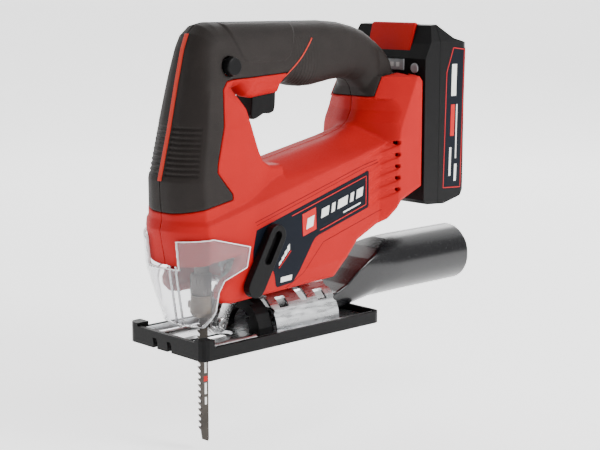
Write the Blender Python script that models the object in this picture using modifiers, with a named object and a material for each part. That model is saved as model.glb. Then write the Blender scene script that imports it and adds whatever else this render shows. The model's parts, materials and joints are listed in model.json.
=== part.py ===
"""Cordless jigsaw, modelled as its separate pieces. Run: blender --background --python part.py

Sizes are in millimetres and become metres where a mesh is made. The front of the saw is at -X, its left
side at -Y, and the sole of the shoe lies at z = 0 with the origin in its middle.
"""

import math

import bmesh
import bpy
from mathutils import Matrix, Vector

MM = 0.001
GAP = 0.3  # clearance between neighbouring solids
FAR = 150.0  # beyond the model, for cutters

# ---- driving dimensions ---------------------------------------------------------------------------------
SHOE_LENGTH = 155.0
SHOE_HALF_WIDTH = 38.0
SHOE_RIM = 8.0
SHOE_FRONT_RIM = 11.0
PLATE_LOW, PLATE_HIGH = 1.9, 3.9
WINDOW_HALF_WIDTH = 9.0
WINDOW_FRONT, WINDOW_BACK = -66.0, -24.0

TILT_AXIS_Z = 3.0  # the bevel axis runs along X at this height
TUNNEL_RADIUS = 28.5
TUNNEL_WALL = 1.5
TUNNEL_FRONT, TUNNEL_BACK = -8.0, 48.0

BODY_HALF_WIDTH = 31.0
BATTERY_HALF_WIDTH = 38.0
SHELL_WALL = 3.4
GRIP_WALL = 1.5
FLANGE_BACK = 119.0

PLUNGER_X = -47.5
PLUNGER_RADIUS = 5.0
STROKE = 20.0
GEAR_Z = 92.0
GEAR_MODULE = 0.8
GEAR_TEETH, PINION_TEETH = 50, 10
MOTOR_Z = GEAR_Z - GEAR_MODULE * (GEAR_TEETH + PINION_TEETH) / 2
MOTOR_RADIUS = 18.5
GEAR_BACK, GEAR_FRONT = -26.0, -32.0

BLADE_BACK_X = -43.6
BLADE_WIDTH = 7.8
BLADE_TIP_Z = -66.0
BLADE_THICKNESS = 1.3
TOOTH_PITCH = 4.0

ROLLER_RADIUS = 7.0
ROLLER_X, ROLLER_Z = BLADE_BACK_X + ROLLER_RADIUS + GAP, 12.5
FORK_PIVOT = (-20.0, 46.0)
LEVER_PIVOT = (-33.0, 40.0)
LEVER_TIP = (-15.0, 71.0)
LOCK_BUTTON = (-39.0, 177.0)

PIPE_RADIUS = 20.5
PIPE_BACK = 189.0
PIPE_Z = 30.0

BATTERY_FRONT, BATTERY_SPLIT, BATTERY_BACK = 119.4, 134.0, 164.0
BATTERY_LOW, BATTERY_HIGH = 75.0, 199.0
CELL_RADIUS, CELL_HALF_LENGTH = 9.1, 32.5

SCREW_PLACES = [(-70.5, 70.0), (-33.0, 128.0), (-27.0, 191.0), (62.0, 183.0), (16.0, 99.0), (80.0, 100.0)]

# Side outline of the whole housing as (x, z): up the nose, along the handle and round by the battery seat.
SIDE_OUTLINE = [
    (-76.0, 55.0), (-78.5, 68.0), (-80.3, 77.5), (-77.8, 84.0), (-79.8, 96.0), (-80.0, 108.0), (-72.0, 139.0),
    (-65.5, 168.0), (-60.5, 188.0), (-57.0, 197.0), (-51.0, 202.5), (-44.0, 204.0), (52.0, 203.5),
    (78.0, 200.5), (94.0, 195.0), (103.0, 184.0), (110.0, 167.0), (115.0, 166.5), (FLANGE_BACK, 162.0),
    (FLANGE_BACK, 89.0), (99.0, 81.0), (89.0, 69.0), (63.0, 57.0), (43.0, 34.5), (-46.0, 30.0), (-54.0, 31.5),
    (-58.0, 36.0), (-58.0, 41.0), (-54.0, 46.0), (-45.0, 51.0), (-41.0, 60.0), (-62.0, 58.0),
]
# The hand opening under the handle.
HAND_OPENING = [
    (-33.0, 160.0), (-17.5, 122.0), (-13.5, 115.0), (-6.0, 111.0), (0.0, 112.0), (60.0, 124.0), (68.0, 128.0),
    (72.0, 136.0), (73.0, 146.0), (69.0, 160.0), (65.0, 164.0), (30.0, 160.5), (18.0, 164.0), (9.0, 158.5),
    (-24.0, 157.5), (-29.0, 162.0),
]
# Widths of the front column as (half width, z).
COLUMN_WIDTHS = [
    (31.0, 20.0), (31.0, 84.0), (30.0, 108.0), (25.5, 139.0), (21.5, 170.0), (16.5, 200.0), (14.0, 210.0),
]
# The nose in plan at several heights: z, x of the side crease, half width there, x of the front.
NOSE_PLANS = [
    (10.0, -58.0, 26.0, -69.0), (17.0, -59.0, 26.5, -70.0), (55.0, -65.0, 30.7, -77.0), (77.5, -66.0, 30.8, -80.9),
    (84.0, -65.0, 30.7, -78.6), (108.0, -66.0, 29.8, -80.7), (139.0, -61.0, 25.3, -72.8),
    (170.0, -55.0, 21.3, -66.0), (205.0, -48.0, 15.3, -58.0),
]
# Black soft grip, seen from the side: the nose band and the handle.
GRIP_REGION = [
    (-95.0, 84.0), (-62.0, 92.0), (-43.0, 97.0), (-45.0, 101.0), (-55.0, 114.0), (-47.0, 162.0), (-42.0, 168.5),
    (-34.0, 169.5), (12.0, 171.5), (9.0, 164.0), (4.0, 150.0), (67.0, 150.0), (72.0, 153.0), (84.0, 151.0),
    (101.0, 154.0), (109.0, 168.0), (118.0, 215.0), (-95.0, 215.0),
]


# ---- shape helpers --------------------------------------------------------------------------------------
def clear_scene():
    for item in list(bpy.data.objects):
        bpy.data.objects.remove(item)


def new_object(name, mesh):
    item = bpy.data.objects.new(name, mesh)
    bpy.context.scene.collection.objects.link(item)
    return item


def from_bmesh(name, shape, weld=True):
    if weld:
        bmesh.ops.remove_doubles(shape, verts=shape.verts, dist=1e-6)
        bmesh.ops.recalc_face_normals(shape, faces=shape.faces)
    mesh = bpy.data.meshes.new(name)
    shape.to_mesh(mesh)
    shape.free()
    return new_object(name, mesh)


def baked(item, weld=True):
    """The object as a plain mesh in world space, with its modifiers applied."""
    bpy.context.view_layer.update()
    graph = bpy.context.evaluated_depsgraph_get()
    mesh = bpy.data.meshes.new_from_object(item.evaluated_get(graph))
    mesh.transform(item.matrix_world)
    name = item.name
    bpy.data.objects.remove(item)
    shape = bmesh.new()
    shape.from_mesh(mesh)
    return from_bmesh(name, shape, weld)


def boolean(item, other, operation):
    modifier = item.modifiers.new("boolean", "BOOLEAN")
    modifier.operation = operation
    modifier.solver = "MANIFOLD"  # the loft faces of the housing are too nearly flush for the exact solver
    modifier.object = other
    result = baked(item, weld=False)
    bpy.data.objects.remove(other)
    return result


def joined(first, *others):
    for other in others:
        first = boolean(first, other, "UNION")
    return first


def cut(item, *cutters):
    for cutter in cutters:
        item = boolean(item, cutter, "DIFFERENCE")
    return item


def common(item, other):
    return boolean(item, other, "INTERSECT")


def copy_of(item):
    return new_object(item.name + "_copy", item.data.copy())


def softened(item, width, segments=2, angle=40.0):
    bevel = item.modifiers.new("bevel", "BEVEL")
    bevel.width = width * MM
    bevel.segments = segments
    bevel.limit_method = "ANGLE"
    bevel.angle_limit = math.radians(angle)
    return baked(item)


# Matrices that carry a drawing's x, y and height to the model's axes.
DRAWINGS = {
    "X": Matrix(((0, 0, 1, 0), (1, 0, 0, 0), (0, 1, 0, 0), (0, 0, 0, 1))),  # drawn as (y, z)
    "Y": Matrix(((1, 0, 0, 0), (0, 0, -1, 0), (0, 1, 0, 0), (0, 0, 0, 1))),  # drawn as (x, z)
    "Z": Matrix.Identity(4),  # drawn as (x, y)
}


def extruded(name, outlines, low, high, along="Y"):
    """A flat outline, or an outline and its holes, run from low to high along an axis."""
    if not isinstance(outlines[0], list):
        outlines = [outlines]
    curve = bpy.data.curves.new(name, "CURVE")
    curve.dimensions = "2D"
    curve.fill_mode = "BOTH"
    curve.extrude = (high - low) / 2 * MM
    for outline in outlines:
        spline = curve.splines.new("POLY")
        spline.points.add(len(outline) - 1)
        for point, (u, v) in zip(spline.points, outline):
            point.co = (u * MM, v * MM, 0, 1)
        spline.use_cyclic_u = True
    item = new_object(name, curve)
    middle = (low + high) / 2 * MM
    height = -middle if along == "Y" else middle
    item.matrix_world = DRAWINGS[along] @ Matrix.Translation((0, 0, height))
    return baked(item)


def box(name, low, high):
    shape = bmesh.new()
    bmesh.ops.create_cube(shape, size=1.0)
    for vert in shape.verts:
        vert.co = Vector([(l + (h - l) * (c + 0.5)) * MM for c, l, h in zip(vert.co, low, high)])
    return from_bmesh(name, shape)


def rod(name, radius, low, high, along, place, sides=24, end_radius=None):
    """A round bar along an axis. place holds its other two coordinates, in X, Y, Z order."""
    shape = bmesh.new()
    bmesh.ops.create_cone(
        shape, cap_ends=True, segments=sides, radius1=radius * MM,
        radius2=(radius if end_radius is None else end_radius) * MM, depth=(high - low) * MM,
    )
    middle = (low + high) / 2
    turn = {"X": Matrix.Rotation(math.pi / 2, 4, "Y"), "Y": Matrix.Rotation(-math.pi / 2, 4, "X")}
    shape.transform(turn.get(along, Matrix.Identity(4)))
    centre = {"X": (middle, *place), "Y": (place[0], middle, place[1]), "Z": (*place, middle)}[along]
    shape.transform(Matrix.Translation(Vector(centre) * MM))
    return from_bmesh(name, shape)


def ring(name, outer, inner, low, high, along, place, sides=24):
    bar = rod(name, outer, low, high, along, place, sides)
    return cut(bar, rod("bore", inner, low - 1, high + 1, along, place, sides))


def loft(name, sections):
    """A skin through rings of points of equal count, closed at both ends."""
    shape = bmesh.new()
    rings = [[shape.verts.new(Vector(p) * MM) for p in section] for section in sections]
    count = len(rings[0])
    for lower, upper in zip(rings, rings[1:]):
        for i in range(count):
            j = (i + 1) % count
            shape.faces.new((lower[i], lower[j], upper[j], upper[i]))
    shape.faces.new(list(reversed(rings[0])))
    shape.faces.new(rings[-1])
    bmesh.ops.triangulate(shape, faces=shape.faces[:])
    return from_bmesh(name, shape)


def tube(name, route, radius):
    """A round wire along a route of points, with closed ends."""
    curve = bpy.data.curves.new(name, "CURVE")
    curve.dimensions = "3D"
    curve.bevel_depth = radius * MM
    curve.bevel_resolution = 2
    curve.use_fill_caps = True
    spline = curve.splines.new("POLY")
    spline.points.add(len(route) - 1)
    for point, place in zip(spline.points, route):
        point.co = (*(Vector(place) * MM), 1)
    return baked(new_object(name, curve))


def arc(centre, radius, first, last, steps):
    """Points on a circle from one angle to another, in degrees."""
    found = []
    for i in range(steps + 1):
        angle = math.radians(first + (last - first) * i / steps)
        found.append((centre[0] + radius * math.cos(angle), centre[1] + radius * math.sin(angle)))
    return found


def inset(outline, depth):
    """The outline moved inwards by depth, edge by edge; a negative depth moves it outwards."""
    area = sum(a[0] * b[1] - b[0] * a[1] for a, b in zip(outline, outline[1:] + outline[:1]))
    side = 1 if area > 0 else -1
    moved = []
    for i, here in enumerate(outline):
        before, after = Vector(outline[i - 1]), Vector(outline[(i + 1) % len(outline)])
        here = Vector(here)
        into, out_of = (here - before).normalized(), (after - here).normalized()
        normal_in = Vector((-into.y, into.x)) * side
        normal_out = Vector((-out_of.y, out_of.x)) * side
        bisector = (normal_in + normal_out) / max(0.35, 1 + normal_in.dot(normal_out))
        moved.append(tuple(here + bisector * depth))
    return moved


def rounded_box_outline(low, high, radius, steps=3):
    (x0, y0), (x1, y1) = low, high
    corners = [(x1 - radius, y1 - radius, 0), (x0 + radius, y1 - radius, 90),
               (x0 + radius, y0 + radius, 180), (x1 - radius, y0 + radius, 270)]
    return [p for x, y, start in corners for p in arc((x, y), radius, start, start + 90, steps)]


# ---- materials and naming -------------------------------------------------------------------------------
def make_materials():
    looks = {
        "red_plastic": ((0.70, 0.03, 0.02), 0.42, 0.0),
        "black_grip": ((0.035, 0.032, 0.032), 0.75, 0.0),
        "black_plastic": ((0.02, 0.02, 0.022), 0.45, 0.0),
        "clear_plastic": ((0.85, 0.86, 0.88), 0.1, 0.0),
        "zinc_steel": ((0.72, 0.73, 0.74), 0.3, 1.0),
        "dark_steel": ((0.18, 0.16, 0.14), 0.4, 1.0),
        "bright_steel": ((0.62, 0.62, 0.63), 0.25, 1.0),
        "cast_aluminium": ((0.55, 0.56, 0.58), 0.5, 1.0),
        "brass": ((0.75, 0.55, 0.25), 0.3, 1.0),
        "green_board": ((0.03, 0.22, 0.10), 0.5, 0.0),
        "cell_wrap": ((0.10, 0.35, 0.55), 0.4, 0.0),
        "red_wire": ((0.65, 0.04, 0.03), 0.45, 0.0),
        "black_wire": ((0.03, 0.03, 0.03), 0.45, 0.0),
    }
    made = {}
    for name, (colour, roughness, metallic) in looks.items():
        material = bpy.data.materials.new(name)
        material.use_nodes = True
        shader = material.node_tree.nodes["Principled BSDF"]
        shader.inputs["Base Color"].default_value = (*colour, 1)
        shader.inputs["Roughness"].default_value = roughness
        shader.inputs["Metallic"].default_value = metallic
        made[name] = material
    return made


class Assembly:
    """The finished pieces: each has a name, a material and the empty of the body that it moves with."""

    def __init__(self, name):
        self.collection = bpy.data.collections.new(name)
        bpy.context.scene.collection.children.link(self.collection)
        self.materials = make_materials()
        self.bodies = {}

    def body(self, name, place=(0.0, 0.0, 0.0)):
        empty = bpy.data.objects.new("body_" + name, None)
        empty.location = Vector(place) * MM
        self.collection.objects.link(empty)
        self.bodies[name] = empty

    def add(self, item, name, body, material, smooth=35.0):
        item.name = name
        item.data.name = name
        item.data.materials.clear()
        item.data.materials.append(self.materials[material])
        item.data.shade_smooth()
        item.data.set_sharp_from_angle(angle=math.radians(smooth))
        for collection in list(item.users_collection):
            collection.objects.unlink(item)
        self.collection.objects.link(item)
        bpy.context.view_layer.update()
        item.parent = self.bodies[body]
        item.matrix_parent_inverse = self.bodies[body].matrix_world.inverted()


# ---- shoe, base plate and bevel bracket -----------------------------------------------------------------
def slide_shoe():
    half = SHOE_LENGTH / 2
    plan = rounded_box_outline((-half, -SHOE_HALF_WIDTH), (half, SHOE_HALF_WIDTH), 5.0)
    tray = extruded("slide_shoe", plan, 0, SHOE_RIM, "Z")
    pocket = rounded_box_outline((-half + 3, -SHOE_HALF_WIDTH + 2.4), (half - 2.4, SHOE_HALF_WIDTH - 2.4), 3.0)
    tray = cut(tray, extruded("pocket", pocket, PLATE_LOW - GAP, FAR, "Z"))
    front = common(
        extruded("front", plan, 1.0, SHOE_FRONT_RIM + 2, "Z"),
        box("front_zone", (-FAR, -FAR, 0.5), (-half + 3.1, FAR, SHOE_FRONT_RIM)),
    )
    tray = joined(tray, front)
    for side in (-1, 1):
        post = extruded("post", plan, 1.5, SHOE_FRONT_RIM + 2, "Z")
        low, high = sorted((side * 29.0, side * FAR))
        post = common(post, box("post_zone", (-FAR, low, 0), (-half + 9, high, FAR)))
        hollow_low, hollow_high = sorted((side * 10.0, side * (SHOE_HALF_WIDTH - 2.4)))
        post = cut(post, box("post_hollow", (-half + 3, hollow_low, 0), (0, hollow_high, 9.5)))
        tray = joined(tray, post)
    window = rounded_box_outline((WINDOW_FRONT, -WINDOW_HALF_WIDTH), (WINDOW_BACK, WINDOW_HALF_WIDTH), 3.0)
    bolt_window = arc((22.0, 0.0), 8.0, 0, 345, 23)
    tray = cut(tray, extruded("window", window, -1, 6, "Z"), extruded("bolt_window", bolt_window, -1, 6, "Z"))
    for y in (10.0, -4.5):
        notch = [(y - 1.6, -1.0), (y + 2.6, -1.0), (y + 2.2, 3.5), (y + 3.0, 6.5), (y - 0.8, 6.5),
                 (y - 1.8, 4.0)]
        tray = cut(tray, extruded("notch", notch, -half - 1, -half + 3.4, "X"))
    return tray


def base_plate():
    """Pressed steel plate with upturned edges, two stiffening ribs and a slot that is open to the front."""
    front, back = -SHOE_LENGTH / 2 + 3.4, SHOE_LENGTH / 2 - 2.8
    edge = SHOE_HALF_WIDTH - 2.8
    section = [
        (-edge, PLATE_LOW), (edge, PLATE_LOW), (edge, 7.6), (edge - 1.6, 7.6), (edge - 1.6, PLATE_HIGH),
        (-edge + 1.6, PLATE_HIGH), (-edge + 1.6, 7.6), (-edge, 7.6),
    ]
    plate = extruded("base_plate", section, front + 0.6, back, "X")
    plan = rounded_box_outline((front + 0.6, -edge), (back, edge), 4.0)
    plate = common(plate, extruded("plan", plan, 0, 20, "Z"))
    for side in (-1, 1):
        rib = rod("rib", 3.2, -69.0, -24.0, "X", (side * 24.0, PLATE_HIGH - 0.6), 16)
        rib = common(rib, box("rib_top", (-FAR, -FAR, PLATE_LOW + 0.2), (FAR, FAR, FAR)))
        plate = joined(plate, rib)
    slot = [(-FAR, -7.0)] + arc((-31.0, 0.0), 7.0, -90, 90, 8) + [(-FAR, 7.0)]
    bolt_hole = extruded("bolt_hole", arc((22, 0), 6.5, 0, 345, 23), 0, 6, "Z")
    return cut(plate, extruded("slot", slot, 0, 6, "Z"), bolt_hole)


def bevel_bracket():
    """Half barrel on the plate, with feet along both sides and windows for the tilt positions."""
    centre = (0.0, TILT_AXIS_Z)
    foot = PLATE_HIGH + GAP
    start = math.degrees(math.asin((foot - TILT_AXIS_Z) / TUNNEL_RADIUS))
    outer = arc(centre, TUNNEL_RADIUS, start, 180 - start, 22)
    inner = arc(centre, TUNNEL_RADIUS - TUNNEL_WALL, 180 - start, start, 22)
    inner = [(inner[0][0], foot)] + inner[1:-1] + [(inner[-1][0], foot)]
    section = (
        [(32.2, foot), (32.2, foot + TUNNEL_WALL), (outer[1][0], foot + TUNNEL_WALL)] + outer[2:-2]
        + [(-outer[1][0], foot + TUNNEL_WALL), (-32.2, foot + TUNNEL_WALL), (-32.2, foot)] + inner
    )
    bracket = extruded("bevel_bracket", section, TUNNEL_FRONT, TUNNEL_BACK, "X")
    slot = extruded("bolt_slot", rounded_box_outline((18.5, -22.0), (25.5, 22.0), 2.5), 12, 40, "Z")
    bracket = cut(bracket, slot)
    for side in (-1, 1):
        for x in (-1.0, 33.0):
            low, high = sorted((side * 17.0, side * 23.0))
            bracket = cut(bracket, box("index_window", (x, low, 16.0), (x + 8.0, high, 40.0)))
    for x in (TUNNEL_FRONT, TUNNEL_BACK):
        for angle in (35, 60, 120, 145):
            (y, z), = arc(centre, TUNNEL_RADIUS - 0.7, angle, angle, 1)[:1]
            bracket = cut(bracket, rod("scallop", 1.6, y - 4, y + 4, "Y", (x, z), 12))
    return bracket


def make_base(saw):
    saw.add(slide_shoe(), "slide_shoe", "base", "black_plastic")
    saw.add(base_plate(), "base_plate", "base", "zinc_steel")
    saw.add(bevel_bracket(), "bevel_bracket", "base", "zinc_steel")


# ---- housing --------------------------------------------------------------------------------------------
def nose_outline(crease_x, half_width, front_x, depth, back=FAR):
    """Plan of the saw: straight sides that close in a half ellipse at the nose."""
    half_width -= depth
    reach = crease_x - front_x - depth * 0.9
    curve = []
    for i in range(13):
        angle = math.radians(-90 + 15 * i)
        curve.append((crease_x - reach * math.cos(angle), half_width * math.sin(angle)))
    return [(back, -half_width)] + curve + [(back, half_width)]


def nose_envelope(depth, wide=None):
    sections = []
    for z, crease_x, half_width, front_x in NOSE_PLANS:
        plan = nose_outline(crease_x, half_width, front_x, depth)
        if wide is not None:
            plan = [(x, math.copysign(wide, y)) if x >= crease_x - 0.01 and x > 0 else (x, y) for x, y in plan]
        sections.append([(x, y, z) for x, y in plan])
    return loft("nose", sections)


def mirrored(points):
    """Half a section as (half width, z), made whole."""
    return [(w, z) for w, z in points] + [(-w, z) for w, z in reversed(points)]


def body_envelope(depth):
    """The motor body: straight sides, a chamfer that climbs to the back and a flat top."""
    sections = []
    for x in (-100.0, FAR):
        side_top = 82.0 + 0.291 * (x + 63.0) - depth * 0.6
        top = 112.0 + 0.2 * x - depth
        half = [(BODY_HALF_WIDTH - depth, 10.0), (BODY_HALF_WIDTH - depth, side_top)]
        half += [(BODY_HALF_WIDTH - 8.0 - depth, max(top, side_top + 1.0) + 1.5)]
        sections.append([(x, y, z) for y, z in mirrored(half)])
    return loft("body", sections)


def handle_envelope(depth):
    half = [(9.0, 148.0), (15.5, 157.5), (18.3, 167.0), (18.6, 180.0), (17.0, 192.0), (13.0, 200.0),
            (7.0, 206.0)]
    outline = inset(mirrored(half), depth)
    return extruded("handle", outline, -52.0 + depth, 117.0 - depth, "X")


def column_envelope(depth):
    half = [(w - depth, z) for w, z in COLUMN_WIDTHS]
    return extruded("column", mirrored(half), -110.0, -8.3 - depth, "X")


def rear_envelope(depth):
    """The widening towards the battery seat, in a lower and an upper part."""
    wide = BATTERY_HALF_WIDTH - depth
    lower_half = [(78.0 + depth, 30.6 - depth), (83.0, 30.8 - depth), (96.0, wide), (FAR, wide)]
    upper_halves = {
        118.0 + depth: [(58.0 + depth, 20.5 - depth), (82.0, 26.0 - depth), (92.5, wide - 0.2),
                        (FAR, wide - 0.2)],
        169.0: [(64.0 + depth, 17.4 - depth), (92.0, 20.0 - depth), (110.5, wide - 0.6), (FAR, wide - 0.6)],
    }
    lower = extruded("rear_low", [(x, w) for x, w in lower_half] + [(x, -w) for x, w in reversed(lower_half)],
                     45.0, 130.0 - depth, "Z")
    rings = []
    for z, half in upper_halves.items():
        rings.append([(x, w, z) for x, w in half] + [(x, -w, z) for x, w in reversed(half)])
    return joined(lower, loft("rear_high", rings))


def housing_solid(depth, hand_opening=True):
    """The saw's outer form, or the same form inset by depth."""
    outlines = [inset(SIDE_OUTLINE, depth)]
    if hand_opening:
        outlines.append(inset(HAND_OPENING, -depth))
    side = extruded("side", outlines, -60, 60, "Y")
    envelope = joined(body_envelope(depth), column_envelope(depth), handle_envelope(depth), rear_envelope(depth))
    solid = common(side, envelope)
    return common(solid, nose_envelope(depth, BATTERY_HALF_WIDTH + 5))


def bosses():
    """Screw pillars across the inside of the housing."""
    made = []
    for x, z in SCREW_PLACES:
        made.append(rod("boss", 4.2, -45, 45, "Y", (x, z), 16))
    return made


def housing_openings():
    """Everything that is cut from the housing: (name, cutter)."""
    cutters = [
        box("under_nose", (-61.0, -24.5, 20.0), (-11.0, 24.5, 64.5)),
        rod("tunnel_clearance", TUNNEL_RADIUS + 0.6, -30.0, 60.0, "X", (0.0, TILT_AXIS_Z), 40),
        rod("lever_hole", 3.6, -60, 0, "Y", LEVER_PIVOT, 20),
        rod("lock_hole", 6.1, -60, 0, "Y", LOCK_BUTTON, 24),
        box("trigger_hole", (-24.0, -8.8, 150.0), (11.5, 8.8, 166.0)),
        box("seat_wide", (111.0, -30.0, 86.0), (114.6, 30.0, 190.0)),
        box("seat_neck", (114.0, -26.0, 86.0), (130.0, 26.0, 190.0)),
        box("terminal_hole", (96.0, -14.5, 94.0), (112.0, 14.5, 124.0)),
        rod("clamp_bolt_hole", 3.2, 20.0, 46.0, "Z", (22.0, 0.0), 20),
    ]
    for i in range(5):
        z = 90.0 + 7.9 * i
        slot = [(73.0, z - 6.2), (96.0, z - 1.6), (96.0, z + 0.8), (73.0, z - 3.8)]
        cutters.append(extruded("vent", slot, -60, 60, "Y"))
    return cutters


def make_housing(saw):
    outer = housing_solid(0.0)
    under_grip = housing_solid(GRIP_WALL)
    below = housing_solid(GRIP_WALL + GAP)
    hollow = common(housing_solid(SHELL_WALL), box("seat_wall", (-FAR, -FAR, -FAR), (104.5, FAR, 2 * FAR)))

    grip_zone = extruded("grip_zone", GRIP_REGION, -70, 70, "Y")
    grip_gap = extruded("grip_gap", inset(GRIP_REGION, -GAP), -71, 71, "Y")
    for side in (-1, 1):  # behind the hand opening only the handle itself is black
        low, high = sorted((side * 20.3, side * 90.0))
        grip_zone = cut(grip_zone, box("rear", (86.0, low, 100.0), (140.0, high, 180.0)))
        low, high = sorted((side * (20.3 + GAP), side * 90.0))
        grip_gap = cut(grip_gap, box("rear", (86.0 + GAP, low, 100.0), (140.0, high, 180.0)))
    grip = cut(common(copy_of(outer), grip_zone), under_grip)
    shell = joined(cut(outer, grip_gap), below)

    pillars = joined(*bosses())
    pillars = common(pillars, housing_solid(SHELL_WALL - 0.6))
    shell = cut(shell, hollow)
    shell = joined(shell, pillars)
    openings = housing_openings()
    for cutter in openings:
        if cutter.name.startswith(("lock_hole", "trigger_hole")):
            grip = cut(grip, copy_of(cutter))
        shell = cut(shell, cutter)
    for x, z in SCREW_PLACES:
        shell = cut(shell, rod("screw_hole", 1.9, -26, 60, "Y", (x, z), 12))
        shell = cut(shell, rod("screw_head", 3.7, 9.0, 60, "Y", (x, z), 16))
        grip = cut(grip, rod("screw_head_grip", 3.7, 9.0, 60, "Y", (x, z), 16))
    halves = {"left": (-FAR, -0.15), "right": (0.15, FAR)}
    for side, (low, high) in halves.items():
        half = common(copy_of(shell), box("half", (-FAR * 2, low, -FAR), (FAR * 2, high, FAR * 2)))
        saw.add(largest_piece(half), "housing_" + side, "housing", "red_plastic")
        half = common(copy_of(grip), box("half", (-FAR * 2, low, -FAR), (FAR * 2, high, FAR * 2)))
        saw.add(largest_piece(half), "grip_" + side, "housing", "black_grip")
    bpy.data.objects.remove(shell)
    bpy.data.objects.remove(grip)


def largest_piece(item):
    """Drops the crumbs that cutting can leave, and keeps the biggest connected piece."""
    shape = bmesh.new()
    shape.from_mesh(item.data)
    left, groups = set(shape.verts), []
    while left:
        group, queue = set(), [left.pop()]
        while queue:
            vert = queue.pop()
            group.add(vert)
            for edge in vert.link_edges:
                other = edge.other_vert(vert)
                if other in left:
                    left.discard(other)
                    queue.append(other)
        groups.append(group)
    groups.sort(key=len)
    for group in groups[:-1]:
        bmesh.ops.delete(shape, geom=list(group), context="VERTS")
    bmesh.ops.dissolve_degenerate(shape, dist=0.01 * MM, edges=shape.edges)
    bmesh.ops.dissolve_limit(
        shape, angle_limit=math.radians(0.4), use_dissolve_boundaries=False, verts=shape.verts, edges=shape.edges
    )
    bmesh.ops.triangulate(shape, faces=shape.faces[:])
    bmesh.ops.dissolve_degenerate(shape, dist=0.01 * MM, edges=shape.edges)
    name = item.name
    bpy.data.objects.remove(item)
    return from_bmesh(name, shape, weld=False)


# ---- chip guard, wire guard and orbital lever -----------------------------------------------------------
GUARD_PLANS = [(14.0, -58.5, 26.0, -68.5), (16.0, -58.5, 26.0, -69.0), (48.0, -65.0, 33.8, -78.5),
               (80.0, -66.0, 33.8, -84.0)]
GUARD_SIDE = [(-90.0, 16.0), (-62.5, 16.0), (-59.0, 28.0), (-59.0, 40.0), (-56.0, 47.0), (-38.0, 53.0),
              (-35.0, 66.0), (-64.4, 73.5), (-66.0, 72.0), (-66.6, 54.2), (-90.0, 54.2)]


def guard_envelope(depth):
    sections = []
    for z, crease_x, half_width, front_x in GUARD_PLANS:
        plan = nose_outline(crease_x, half_width, front_x, depth, -20.0)
        sections.append([(x, y, z) for x, y in plan])
    return loft("guard", sections)


def chip_guard():
    return cut(common(guard_envelope(0.0), extruded("side", GUARD_SIDE, -60, 60, "Y")), guard_envelope(1.8))


def wire_guard():
    route = [(-71.0, 3.2, 54.8)]
    for step in range(10):
        angle = math.radians(20 * step)
        route.append((-65.2, 3.2 * math.cos(angle), 18.0 - 4.0 * math.sin(angle)))
    route.append((-71.0, -3.2, 54.8))
    return tube("wire_guard", route, 0.8)


def slotted_bar(name, start, end, half_width, low, high):
    """A flat bar with round ends between two points of the side view."""
    along = Vector(end) - Vector(start)
    heading = math.degrees(math.atan2(along.y, along.x))
    outline = arc(end, half_width, heading - 90, heading + 90, 8) + arc(start, half_width, heading + 90,
                                                                       heading + 270, 8)
    return extruded(name, outline, low, high, "Y")


def orbital_lever():
    bar = softened(slotted_bar("lever", LEVER_PIVOT, LEVER_TIP, 6.8, -37.2, -31.5), 1.4)
    start = Vector(LEVER_PIVOT).lerp(Vector(LEVER_TIP), 0.52)
    return cut(bar, slotted_bar("thumb_slot", tuple(start), LEVER_TIP, 2.9, -40.0, -33.4))


def orbital_cam():
    shaft = rod("cam", 3.2, -31.2, -20.0, "Y", LEVER_PIVOT, 20)
    eccentric = rod("eccentric", 2.4, -21.0, 7.0, "Y", (LEVER_PIVOT[0] - 0.7, LEVER_PIVOT[1]), 16)
    return joined(shaft, eccentric)


def roller_fork():
    """Two cheeks that carry the guide roller, joined behind it."""
    cheeks = []
    for low, high in ((-5.8, -3.7), (3.7, 5.8)):
        outline = (
            arc((ROLLER_X, ROLLER_Z), 4.6, 140, 330, 8)
            + arc(FORK_PIVOT, 4.8, -20, 150, 8)
        )
        cheeks.append(extruded("cheek", outline, low, high, "Y"))
    back = [(-26.0, 21.0), (-22.6, 21.0), (-17.2, 40.0), (-20.5, 40.0)]
    fork = joined(cheeks[0], cheeks[1], extruded("back", back, -5.0, 5.0, "Y"))
    fork = cut(fork, rod("axle_bore", 2.2, -9, 9, "Y", (ROLLER_X, ROLLER_Z), 16))
    return cut(fork, rod("pivot_bore", 2.3, -9, 9, "Y", FORK_PIVOT, 16))


def guide_roller():
    roller = ring("guide_roller", ROLLER_RADIUS + 0.6, 2.2, -3.3, 3.3, "Y", (ROLLER_X, ROLLER_Z), 32)
    groove = ring("groove", ROLLER_RADIUS + 3, ROLLER_RADIUS, -1.1, 1.1, "Y", (ROLLER_X, ROLLER_Z), 32)
    return cut(roller, groove)


def roller_screw():
    head = rod("roller_screw", 3.5, -8.2, -6.1, "Y", (ROLLER_X, ROLLER_Z), 20)
    screw = joined(softened(head, 0.4), rod("axle", 1.9, -6.5, 6.4, "Y", (ROLLER_X, ROLLER_Z), 16))
    star = [p for i in range(6) for p in (arc((ROLLER_X, ROLLER_Z), 1.9, 60 * i, 60 * i, 1)[:1]
                                          + arc((ROLLER_X, ROLLER_Z), 1.35, 60 * i + 30, 60 * i + 30, 1)[:1])]
    return cut(screw, extruded("star", star, -9, -7.0, "Y"))


def make_guides(saw):
    saw.add(chip_guard(), "chip_guard", "chip_guard", "clear_plastic")
    saw.add(wire_guard(), "wire_guard", "housing", "bright_steel")
    saw.add(orbital_lever(), "orbital_lever", "orbital_lever", "black_plastic")
    saw.add(orbital_cam(), "orbital_cam_shaft", "orbital_lever", "bright_steel")
    saw.add(roller_fork(), "roller_fork", "roller_fork", "bright_steel")
    saw.add(guide_roller(), "guide_roller", "guide_roller", "bright_steel")
    saw.add(roller_screw(), "roller_screw", "roller_fork", "bright_steel")


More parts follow.
